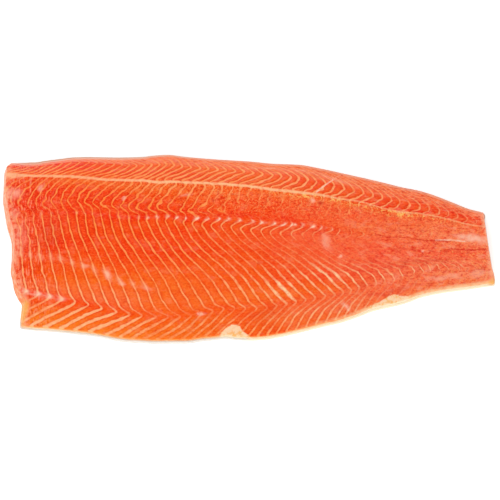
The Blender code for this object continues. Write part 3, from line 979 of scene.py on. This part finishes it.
flesh = make_piece("trout_flesh", all_points, faces, attributes)
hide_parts("flesh")

# %% [markdown]
# ## The skin
# The skin is a thin floor whose long edges turn up against the flesh. It shows as a pale strip
# along the belly and a grey line behind the back. Its rings follow the foot of the flesh, so the
# two fit all the way round.

# %% Rings of the skin
BELLY_TURN_UP = [(-205, 0.8), (-160, 1.6), (-105, 3.2), (-55, 3.2), (-15, 1.6), (40, 1.2), (215, 1.0)]
BACK_TURN_UP = [(-213, 4.0), (-195, 6.4), (-120, 6.4), (-80, 5.0), (-30, 3.2), (215, 2.5)]
SKIN_SIDE_GAP = 0.1

rise = np.clip(4 * on_edge - 3, 0, 1)
turn_up = np.where(ring_side == "belly", along_points(BELLY_TURN_UP, foot_outline[:, 0]),
                   along_points(BACK_TURN_UP, foot_outline[:, 0]))
rim_height = SKIN_THICKNESS + rise * ring_blend(turn_up)
SKIN_RINGS = [
    # offset at a cut, offset at an edge, height at the floor, share of the rim's height
    (-0.6, SKIN_OUT - 0.9, 0.0, 0.0),
    (0.0, SKIN_OUT - 0.3, 0.2, 0.0),
    (CUT_OVERHANG, SKIN_OUT, 0.6, 0.0),
    (CUT_OVERHANG, SKIN_OUT, 0.0, 0.6),
    (CUT_OVERHANG - 0.1, SKIN_OUT - 0.2, 0.0, 0.95),
    (-0.2, 0.5 * (SKIN_OUT + SKIN_SIDE_GAP), 0.0, 1.0),
    (-0.4, SKIN_SIDE_GAP, 0.0, 0.93),
    (-1.2, 0.0, SKIN_THICKNESS, 0.0),
]
TURNED_UP_RINGS = (4, 5, 6)

rings = []
skin_faces = []
for k, (cut_offset, edge_offset, floor_height, rim_share) in enumerate(SKIN_RINGS):
    offset = (1 - step_out) * cut_offset + step_out * edge_offset
    level = np.maximum(floor_height, rim_share * rim_height)
    rings.append(np.column_stack([foot_outline + outward * offset[:, None], level]))
    here = range(k * len(ring), (k + 1) * len(ring))
    if k:
        skin_faces.extend(ring_faces(previous, here))
    previous = here
skin_faces.append(tuple(range(len(ring)))[::-1])
skin_faces.append(tuple(previous))
skin_points = np.concatenate(rings)
belly_here = along_points(BELLY_EDGE, skin_points[:, 0])
back_here = along_points(BACK_EDGE, skin_points[:, 0])
skin_share = (skin_points[:, 1] - belly_here) / (back_here - belly_here)
rim_edge = np.repeat([float(k in TURNED_UP_RINGS) for k in range(len(SKIN_RINGS))], len(ring))
skin = make_piece("trout_skin", skin_points, skin_faces, {"share": skin_share, "rim_edge": rim_edge})
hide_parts("skin")

# %% [markdown]
# ## Mixing paint with nodes
# A material here is a recipe: measured distances go in, soft masks come out, and each mask lays a
# coat of one named colour over the coats before. Small helpers keep each coat to a line or two.
# The first ones make the nodes that reckon.

# %% Colours, sums and soft masks
def paint(red, green, blue):
    """A colour given as seen on a screen, 0 to 255, as the light it stands for."""
    light = [((c / 255 + 0.055) / 1.055) ** 2.4 if c > 10.3 else c / 3294.6 for c in (red, green, blue)]
    return (*light, 1.0)


class Reckoner:
    """Makes a material and the nodes that reckon in it."""

    def __init__(self, name):
        self.material = bpy.data.materials.new(name)
        self.material.use_nodes = True
        self.nodes = self.material.node_tree.nodes
        self.shader = self.nodes["Principled BSDF"]

    def feed(self, socket, value):
        if isinstance(value, bpy.types.NodeSocket):
            self.material.node_tree.links.new(value, socket)
        else:
            socket.default_value = value

    def math(self, operation, *values):
        node = self.nodes.new("ShaderNodeMath")
        node.operation = operation
        for socket, value in zip(node.inputs, values):
            self.feed(socket, value)
        return node.outputs[0]

    def plus(self, first, second):
        return self.math("ADD", first, second)

    def times(self, first, *others):
        for other in others:
            first = self.math("MULTIPLY", first, other)
        return first

    def swing(self, noise, size):
        """Noise as a shift to either side of 0, of the given size from end to end."""
        return self.math("MULTIPLY_ADD", noise, size, -0.5 * size)

    def ramp(self, value, low, high, to_low=0.0, to_high=1.0):
        """Goes softly from to_low to to_high as the value goes from low to high."""
        node = self.nodes.new("ShaderNodeMapRange")
        node.interpolation_type = "SMOOTHSTEP"
        for key, number in zip(("Value", "From Min", "From Max", "To Min", "To Max"),
                               (value, low, high, to_low, to_high)):
            self.feed(node.inputs[key], number)
        return node.outputs[0]


print("a colour of 255, 128, 0 is", [round(c, 2) for c in paint(255, 128, 0)[:3]], "in light")

# %% [markdown]
# The rest reads what a point knows and makes the patterns: lumps of noise and scattered cells. A
# coat multiplies its masks and lays its colour on as thickly as they allow. The mixing node holds
# the amount between 0 and 1, so masks may go a little past 1 where a coat should be full.

# %% Patterns and coats
class Recipe(Reckoner):
    """Builds one material, coat by coat. Its colour is what the coats so far have made."""

    def known(self, name):
        node = self.nodes.new("ShaderNodeAttribute")
        node.attribute_name = name
        return node.outputs["Fac"]

    def place(self, scale=(1, 1, 1)):
        """The point's own place in mm, drawn out along an axis whose scale is under 1."""
        coordinates = self.nodes.new("ShaderNodeTexCoord")
        node = self.nodes.new("ShaderNodeMapping")
        self.feed(node.inputs["Vector"], coordinates.outputs["Object"])
        node.inputs["Scale"].default_value = [s / MM for s in scale]
        return node.outputs["Vector"]

    def along_axis(self, place, axis):
        node = self.nodes.new("ShaderNodeSeparateXYZ")
        self.feed(node.inputs[0], place)
        return node.outputs[axis]

    def noise(self, place, size, detail=2.0, roughness=0.5, twist=0.0):
        """Random value around 0.5 whose lumps are about the given size in mm."""
        node = self.nodes.new("ShaderNodeTexNoise")
        self.feed(node.inputs["Vector"], place)
        node.inputs["Scale"].default_value = 1 / size
        node.inputs["Detail"].default_value = detail
        node.inputs["Roughness"].default_value = roughness
        node.inputs["Distortion"].default_value = twist
        return node.outputs["Fac"]

    def cells(self, place, size):
        """Distance to the nearest of scattered points that lie about the given size apart."""
        node = self.nodes.new("ShaderNodeTexVoronoi")
        self.feed(node.inputs["Vector"], place)
        node.inputs["Scale"].default_value = 1 / size
        return node.outputs["Distance"]

    def blend(self, amount, first, second):
        node = self.nodes.new("ShaderNodeMix")
        node.data_type = "RGBA"
        self.feed(node.inputs["Factor"], amount)
        self.feed(node.inputs["A"], first)
        self.feed(node.inputs["B"], second)
        return node.outputs["Result"]

    def coat(self, colour, *masks):
        """Lays a colour over what is there, through all the masks."""
        self.colour = self.blend(self.times(*masks), self.colour, colour)

    def dress(self, piece, relief, strength, depth):
        """Gives a piece this colour and a fine bump."""
        self.feed(self.shader.inputs["Base Color"], self.colour)
        bump = self.nodes.new("ShaderNodeBump")
        bump.inputs["Strength"].default_value = strength
        bump.inputs["Distance"].default_value = depth
        self.feed(bump.inputs["Height"], relief)
        self.feed(self.shader.inputs["Normal"], bump.outputs["Normal"])
        piece.data.materials.append(self.material)
        print(piece.name, "is painted with", len(self.nodes), "nodes")


print("a recipe can read places, noise, cells and what the points know")

# %% [markdown]
# ## The colour of the flesh
# Trout flesh is coloured by what the fish eats: a deep orange red where the muscle is lean, a
# lighter orange where fat lies between its fibres, and pinker where it was bruised or worked by
# the tail. Three colours and two known amounts give the ground. Two noises make it uneven.

# %% The ground colour
LEAN = paint(247, 46, 2)
FATTY = paint(252, 127, 22)
PINKISH = paint(252, 128, 92)

recipe = Recipe("flesh")
here = recipe.place()
drawn_out = recipe.place((0.6, 1.0, 1.0))
x_mm = recipe.along_axis(here, "X")
mottle = recipe.noise(here, 4.2, detail=3.0, roughness=0.6)
clouds = recipe.noise(drawn_out, 13.0, detail=3.0)
uneven = recipe.plus(recipe.swing(mottle, 0.34), recipe.swing(clouds, 0.50))
recipe.colour = recipe.blend(recipe.plus(recipe.known("fat"), uneven), LEAN, FATTY)
recipe.coat(PINKISH, recipe.known("pink"), recipe.ramp(mottle, 0.3, 0.7, 0.6, 1.3))
print("the ground takes", len(recipe.nodes), "nodes")

# %% [markdown]
# A grain of short fibres, darker and lighter by turns, breaks the ground up, as the eye never
# sees raw muscle as one flat colour. Towards the tail and along the back the fibres are drawn out
# into streaks and torn. By the head cut they stand across the fish. The high side of each pattern
# gives light fibres and its low side dark ones.

# %% Grain and torn fibres
# Dark muscle red: the colour of the dark fibres, also used as painted shade beside the lines and in the
# cracks.
DARK_MUSCLE_AND_SHADE = paint(210, 16, 0)
LIGHT_FIBRE = paint(255, 142, 80)
TORN_PALE = paint(253, 156, 122)

grain = recipe.noise(drawn_out, 1.35, detail=2.0, roughness=0.6)
streaks = recipe.noise(recipe.place((0.24, 1.0, 1.0)), 1.5, detail=3.0, roughness=0.6)
torn = recipe.noise(drawn_out, 6.5, detail=3.0, roughness=0.65, twist=0.4)
upright = recipe.noise(recipe.place((1.0, 0.22, 1.0)), 1.5, detail=2.0)
grain_amount = recipe.known("grain")
light_grain = recipe.math("MULTIPLY_ADD", grain_amount, 0.55, 0.18)
dark_grain = recipe.math("MULTIPLY_ADD", grain_amount, 0.60, 0.20)
worked = recipe.ramp(x_mm, 70, 150, 0.18, 0.55)
back_band = recipe.ramp(recipe.known("back_mm"), 17, 6, 0.0, 0.6)
head_worn = recipe.ramp(x_mm, -160, -200, 0.0, 0.6)
# Each coat: its colour, its pattern, where that begins to show and where it is full, how much.
FIBRES = [
    (LIGHT_FIBRE, grain, 0.50, 0.72, light_grain), (DARK_MUSCLE_AND_SHADE, grain, 0.50, 0.30, dark_grain),
    (LIGHT_FIBRE, streaks, 0.53, 0.70, worked), (DARK_MUSCLE_AND_SHADE, streaks, 0.47, 0.30, worked),
    (TORN_PALE, torn, 0.52, 0.68, worked), (DARK_MUSCLE_AND_SHADE, torn, 0.46, 0.30, worked),
    (TORN_PALE, streaks, 0.52, 0.66, back_band), (DARK_MUSCLE_AND_SHADE, streaks, 0.47, 0.32, back_band),
    (TORN_PALE, upright, 0.52, 0.66, head_worn), (DARK_MUSCLE_AND_SHADE, upright, 0.47, 0.32, head_worn),
]
for fibre, pattern, begins, full, amount in FIBRES:
    recipe.coat(fibre, recipe.ramp(pattern, begins, full), amount)
print(len(FIBRES), "coats of fibre")

# %% [markdown]
# ## The pale lines
# A line is where the sheet count is a whole number. Its distance in millimetres is the count's
# distance from a whole number times the spacing, so every line keeps its real width. Beside it
# the muscle is painted darker, as painted shade along the line's groove. Fat gathers in the sheets
# near the belly, so the lines turn from orange to cream there.

# %% Draw the lines between the muscles
LINE_ORANGE = paint(255, 138, 60)
LINE_CREAMY = paint(255, 206, 158)

sheet_number = recipe.known("sheet")
off_sheet = recipe.math("SUBTRACT", sheet_number, recipe.math("ROUND", sheet_number))
off_line = recipe.times(recipe.math("ABSOLUTE", off_sheet), recipe.known("spacing"))
line_strength = recipe.known("line_strength")
# Painted shade: the muscle is darkened within 3 mm of each line, beside the groove it lies in.
recipe.coat(DARK_MUSCLE_AND_SHADE, recipe.ramp(off_line, 3.0, 1.2, 0.0, 0.26), line_strength)

line_noise = recipe.noise(here, 5.0, detail=2.0)
half_width = recipe.times(recipe.known("line_width"), recipe.ramp(line_noise, 0.3, 0.7, 0.62, 1.0))
line_core = recipe.math("SUBTRACT", 1.0, recipe.math("DIVIDE", off_line, half_width))
creaminess = recipe.plus(recipe.known("cream"), recipe.swing(mottle, 0.6))
line_colour = recipe.blend(creaminess, LINE_ORANGE, LINE_CREAMY)
recipe.coat(line_colour, recipe.ramp(line_core, 0.0, 0.8), line_strength,
            recipe.ramp(mottle, 0.3, 0.65, 0.75, 1.5), recipe.ramp(grain, 0.25, 0.5, 0.75, 1.0))
print("with the lines it is", len(recipe.nodes), "nodes")

# %% [markdown]
# ## The crest
# The crest carries a line of fat, widest at the head cut. Specks of fat lie where the flesh is
# most mottled. Towards the tail the crest's fat fades and breaks up into yellow specks on its
# lower side. The specks are cut out of noise, which is cheaper than placing each one.

# %% Specks and the line of fat
CREST_FAT = paint(255, 192, 142)
SPECK_FAT = paint(255, 176, 104)
CREST_SPECK = paint(255, 196, 104)

specks = recipe.noise(here, 1.9, detail=2.0, roughness=0.7, twist=1.5)
recipe.coat(SPECK_FAT, recipe.ramp(specks, 0.54, 0.66), recipe.ramp(grain_amount, 0.45, 1.0, 0.0, 0.75))
to_crest = recipe.known("crest_mm")
crest_specks = recipe.noise(here, 2.6, detail=1.5, roughness=0.6, twist=1.0)
recipe.coat(CREST_SPECK, recipe.ramp(crest_specks, 0.55, 0.63),
            recipe.ramp(to_crest, -9.0, -2.0), recipe.ramp(to_crest, 1.5, 0.0),
            recipe.ramp(x_mm, 10, 50, 0.0, 0.85), recipe.ramp(x_mm, 200, 150))
crest_half = recipe.plus(recipe.ramp(x_mm, -198, -218, 1.9, 5.0), recipe.ramp(x_mm, 40, 130, 0.0, -0.75))
crest_off = recipe.math("ABSOLUTE", recipe.plus(to_crest, recipe.swing(line_noise, 1.0)))
crest_core = recipe.math("SUBTRACT", 1.0, recipe.math("DIVIDE", crest_off, crest_half))
recipe.coat(CREST_FAT, recipe.ramp(crest_core, 0.0, 0.7), recipe.ramp(mottle, 0.3, 0.55, 0.6, 1.0),
            recipe.ramp(x_mm, -110, -90, 0.8, 1.0), recipe.ramp(x_mm, 30, 110, 0.92, 0.42))
print("with the crest it is", len(recipe.nodes), "nodes")

# %% [markdown]
# ## Bones, stars and lining
# Where the pin bones were pulled, each sheet ends in a small white dot. At the head end the belly
# sheets turn in pale stars, and along the torn edge of the belly's lining pale rags cling to the
# flesh. All three sit where the sheets cross a line that runs lengthways, so one function draws
# them from the two distances.

# %% Dots where the sheets cross a line
BONE_WHITE = paint(255, 216, 186)
LINING = paint(255, 176, 134)


def dots(line, reach_along, reach_across):
    """Soft dots where the sheets cross a line that runs lengthways."""
    a = recipe.math("POWER", recipe.math("DIVIDE", off_line, reach_along), 2.0)
    b = recipe.math("POWER", recipe.math("DIVIDE", recipe.known(line), reach_across), 2.0)
    return recipe.math("EXPONENT", recipe.times(recipe.plus(a, b), -1.0))


bone_dots = recipe.times(dots("bone_mm", 1.4, 1.5), recipe.ramp(x_mm, -115, -75, 0.12, 1.0),
                         recipe.ramp(x_mm, -205, -185), recipe.ramp(x_mm, 90, 50),
                         recipe.ramp(mottle, 0.35, 0.6, 0.3, 0.95))
star_dots = recipe.times(dots("point_mm", 2.4, 2.0), recipe.ramp(x_mm, -158, -170, 0.0, 0.8))
recipe.coat(BONE_WHITE, recipe.math("MAXIMUM", bone_dots, star_dots))
recipe.coat(LINING, dots("lining_mm", 1.8, 3.2), recipe.ramp(mottle, 0.3, 0.6, 0.3, 0.9),
            recipe.ramp(x_mm, -215, -195), recipe.ramp(x_mm, -70, -110))
print("with the dots it is", len(recipe.nodes), "nodes")

# %% [markdown]
# ## Rim and cuts
# Along the belly the flesh ends in a rim of fat: orange at its top edge, cream where it meets the
# skin. The knife cuts have dried a little and are paler and rougher than the face of the fillet.

# %% Rims of the top
RIM_TOP = paint(254, 196, 146)
RIM_BACK = paint(232, 172, 146)
CUT_PALE = paint(255, 186, 146)

by_a_cut = recipe.math("MAXIMUM", recipe.ramp(recipe.known("head_mm"), 7.0, 0.5),
                       recipe.ramp(recipe.known("tail_mm"), 4.0, 0.5))
recipe.coat(CUT_PALE, by_a_cut, recipe.ramp(mottle, 0.38, 0.62, 0.05, 0.6))
wander = recipe.swing(grain, 2.4)
top_rim = recipe.plus(recipe.known("belly_mm"), wander)
recipe.coat(RIM_TOP, recipe.ramp(top_rim, 2.6, 0.0), recipe.ramp(x_mm, 20, 120, 0.0, 0.9),
            recipe.ramp(mottle, 0.3, 0.6, 0.5, 1.0))
back_rim = recipe.plus(recipe.known("back_mm"), recipe.times(wander, 0.6))
recipe.coat(RIM_BACK, recipe.ramp(back_rim, 3.0, 0.6), recipe.ramp(x_mm, -60, -30, 0.85, 0.5))
print("with the rims it is", len(recipe.nodes), "nodes")

# %% [markdown]
# The walls go by how far down a point lies, from 0 at the top to 1 at the foot. Towards the tail
# the cream begins higher up.

# %% Belly wall and cut faces
RIM_ORANGE = paint(255, 166, 92)
RIM_FAT = paint(255, 238, 208)
CUT_DEEP = paint(246, 132, 74)

down = recipe.known("down")
on_belly = recipe.known("on_belly")
orange_drop = recipe.plus(down, recipe.swing(mottle, 0.4))
recipe.coat(RIM_ORANGE, recipe.ramp(orange_drop, 0.0, 0.45), on_belly)
cream_drop = recipe.plus(orange_drop, recipe.ramp(x_mm, 60, 110, 0.0, 0.25))
recipe.coat(RIM_FAT, recipe.ramp(cream_drop, 0.25, 0.9), on_belly)
cut_face = recipe.blend(recipe.ramp(mottle, 0.36, 0.58), CUT_PALE, CUT_DEEP)
cut_drop = recipe.plus(down, recipe.swing(mottle, 0.2))
recipe.coat(cut_face, recipe.known("on_cut"), recipe.ramp(cut_drop, -0.06, 0.12, 0.0, 0.85))
print("with the walls it is", len(recipe.nodes), "nodes")

# %% [markdown]
# Last come the marks of this one fillet, over everything else. The mottle and the grain make
# their edges ragged, as torn flesh is.

# %% Marks
MARK_PALE_AND_HIGHLIGHT = paint(255, 186, 158)
MARK_FAT = paint(255, 212, 170)
MARK_YELLOW = paint(248, 176, 92)
MARK_DARK = paint(198, 16, 0)
STROKE_PALE = paint(255, 208, 180)

ragged = recipe.ramp(mottle, 0.3, 0.65, 0.6, 1.15)
recipe.coat(MARK_DARK, recipe.known("dark_marks"), ragged)
# Pale marks; the one on the tail is a painted highlight, the glint of the wet surface.
recipe.coat(MARK_PALE_AND_HIGHLIGHT, recipe.known("pale_marks_and_highlight"), ragged)
fat_colour = recipe.blend(recipe.ramp(mottle, 0.3, 0.55), MARK_YELLOW, MARK_FAT)
fat_colour = recipe.blend(recipe.ramp(cream_drop, 0.2, 0.8), fat_colour, RIM_FAT)
in_fat = recipe.plus(recipe.known("fat_area"), wander)
recipe.coat(fat_colour, recipe.ramp(in_fat, 0.7, -0.5, 0.0, 0.95))
in_yellow = recipe.plus(recipe.known("yellow_area"), wander)
recipe.coat(MARK_YELLOW, recipe.ramp(in_yellow, 2.5, -2.0, 0.0, 0.9))
recipe.coat(STROKE_PALE, recipe.ramp(recipe.known("pale_stroke"), 1.15, 0.35, 0.0, 0.72), ragged)
# Painted shade: the cracks are painted darker along their grooves.
in_crack = recipe.plus(recipe.known("dark_stroke"), wander)
recipe.coat(DARK_MUSCLE_AND_SHADE, recipe.ramp(in_crack, 1.1, 0.3, 0.0, 0.6), ragged)
print("with the marks it is", len(recipe.nodes), "nodes")

# %% [markdown]
# ## Moist surface
# Raw fish is wet but not glossy all over: a thin film lies in the grooves, and the light goes a
# little way in before it comes back. A low roughness with a grain of its own and a little light
# under the surface give both.

# %% Gloss and depth
shader = recipe.shader
recipe.feed(shader.inputs["Roughness"], recipe.ramp(mottle, 0.3, 0.7, 0.30, 0.48))
shader.inputs["IOR"].default_value = 1.38
shader.inputs["Specular IOR Level"].default_value = 0.12
shader.inputs["Subsurface Weight"].default_value = 0.12
shader.inputs["Subsurface Radius"].default_value = (1.0, 0.35, 0.15)
shader.inputs["Subsurface Scale"].default_value = 0.002
recipe.dress(flesh, grain, strength=0.35, depth=0.0004)

# %% [markdown]
# ## The skin's colours
# Trout skin is nearly white at the belly, silver on the flank and dark olive grey on the back,
# with black spots, and a rose band runs along the side. The point's share of the way from belly
# to back says which. Flesh and fat cling to the turned-up edges and colour them. Scattered cells
# give both the spots and the fine relief of the scales.

# %% Paint the skin
SKIN_BELLY = paint(232, 224, 214)
SKIN_SILVER = paint(176, 176, 166)
SKIN_BACK = paint(84, 88, 74)
SKIN_ROSE = paint(196, 128, 118)
SKIN_SPOT = paint(30, 32, 28)
SKIN_FAT = paint(255, 240, 212)
SKIN_EDGE = paint(228, 178, 148)
SPOT_SPACING = 7.5
SCALE_SIZE = 2.6

recipe = Recipe("skin")
here = recipe.place()
side = recipe.plus(recipe.known("share"), recipe.swing(recipe.noise(here, 14.0), 0.10))
recipe.colour = recipe.blend(recipe.ramp(side, 0.12, 0.38), SKIN_BELLY, SKIN_SILVER)
recipe.coat(SKIN_BACK, recipe.ramp(side, 0.62, 0.92))
recipe.coat(SKIN_ROSE, recipe.ramp(side, 0.47, 0.55), recipe.ramp(side, 0.72, 0.60, 0.0, 0.42))
spots = recipe.plus(recipe.cells(here, SPOT_SPACING), recipe.times(recipe.noise(here, 1.5), 0.15))
recipe.coat(SKIN_SPOT, recipe.ramp(spots, 0.40, 0.32), recipe.ramp(side, 0.5, 0.75, 0.0, 0.9))
recipe.coat(SKIN_FAT, recipe.ramp(side, 0.3, 0.15), recipe.ramp(recipe.along_axis(here, "X"), -6, 8),
            recipe.ramp(recipe.along_axis(here, "Z"), 0.1, 0.5))
recipe.coat(SKIN_EDGE, recipe.ramp(recipe.known("rim_edge"), 0.3, 0.9), recipe.ramp(side, 0.5, 0.8))
recipe.shader.inputs["Roughness"].default_value = 0.32
recipe.shader.inputs["Metallic"].default_value = 0.0
scales = recipe.cells(recipe.place((1.0, 1.2, 1.0)), SCALE_SIZE)
recipe.dress(skin, scales, strength=0.25, depth=0.0002)

# %% [markdown]
# ## The table it lies on
# The fillet lies on a plain white table. One large face does for it. A little light of its own
# keeps it white right up to the fillet, where a real table would be lit by the whole room.

# %% Floor
FLOOR_HALF = 6.0
FLOOR_GLOW = 0.3
WHITE = (1.0, 1.0, 1.0, 1.0)

floor_data = bpy.data.meshes.new("floor")
floor_data.from_pydata([(-FLOOR_HALF, -FLOOR_HALF, 0), (FLOOR_HALF, -FLOOR_HALF, 0),
                        (FLOOR_HALF, FLOOR_HALF, 0), (-FLOOR_HALF, FLOOR_HALF, 0)], [], [(0, 1, 2, 3)])
floor = bpy.data.objects.new("floor", floor_data)
bpy.context.scene.collection.objects.link(floor)
floor_paint = Reckoner("floor")
floor_paint.shader.inputs["Base Color"].default_value = WHITE
floor_paint.shader.inputs["Roughness"].default_value = 0.9
floor_paint.shader.inputs["Emission Color"].default_value = WHITE
floor_paint.shader.inputs["Emission Strength"].default_value = FLOOR_GLOW
floor_paint.shader.inputs["Specular IOR Level"].default_value = 0.0
floor_data.materials.append(floor_paint.material)
print("the table is", 2 * FLOOR_HALF, "m wide")

# %% [markdown]
# ## Light
# The light is soft and nearly shadowless: a white sky and three big square lamps. The key and the
# fill stand on the near side, so the wet surface doesn't mirror them towards the camera. The third
# stands low, behind the back edge.

# %% Sky and lamps
SKY_STRENGTH = 0.52
# Each lamp: name, place in metres, size in metres, watts.
LAMPS = [("key", (-0.9, -1.3, 1.9), 1.6, 26), ("fill", (1.4, -0.9, 1.7), 1.6, 8),
         ("back", (-0.3, 2.0, 0.9), 1.2, 16)]

world = bpy.data.worlds.new("world")
bpy.context.scene.world = world
world.use_nodes = True
sky = world.node_tree.nodes["Background"]
sky.inputs["Color"].default_value = WHITE
sky.inputs["Strength"].default_value = SKY_STRENGTH


def add_lamp(name, place, size, watts):
    """A square soft lamp that looks at the fillet."""
    data = bpy.data.lights.new(name, "AREA")
    data.size = size
    data.energy = watts
    lamp = bpy.data.objects.new(name, data)
    bpy.context.scene.collection.objects.link(lamp)
    lamp.location = place
    direction = -np.array(place) / np.linalg.norm(place)
    lamp.rotation_mode = "QUATERNION"
    lamp.rotation_quaternion = mathutils.Vector(direction).to_track_quat("-Z", "Y")


for name, place, size, watts in LAMPS:
    add_lamp(name, place, size, watts)
print(len(LAMPS), "lamps")

# %% [markdown]
# ## Camera
# The camera looks down at 65 degrees through a long lens, so that the near and the far edge keep
# nearly the same scale. Its distance follows from the lens and the width that the picture takes in.

# %% Place the camera
CAMERA_ELEVATION = math.radians(65)
PICTURE_WIDTH = 0.45
LENS = 300.0
SENSOR = 36.0
LOOKS_AT = (0.0009, -0.0052, 0.012)

target = (LOOKS_AT[0] - middle[0] * MM, LOOKS_AT[1] - middle[1] * MM, LOOKS_AT[2])
camera_data = bpy.data.cameras.new("camera")
camera_data.lens = LENS
camera_data.sensor_width = SENSOR
camera_data.clip_end = 100
camera = bpy.data.objects.new("camera", camera_data)
bpy.context.scene.collection.objects.link(camera)
distance = PICTURE_WIDTH * LENS / SENSOR
camera.location = (target[0], target[1] - distance * math.cos(CAMERA_ELEVATION),
                   target[2] + distance * math.sin(CAMERA_ELEVATION))
camera.rotation_euler = (math.pi / 2 - CAMERA_ELEVATION, 0, 0)
bpy.context.scene.camera = camera
bpy.context.scene.view_settings.view_transform = "Standard"
print("camera stands", round(distance, 2), "m away")
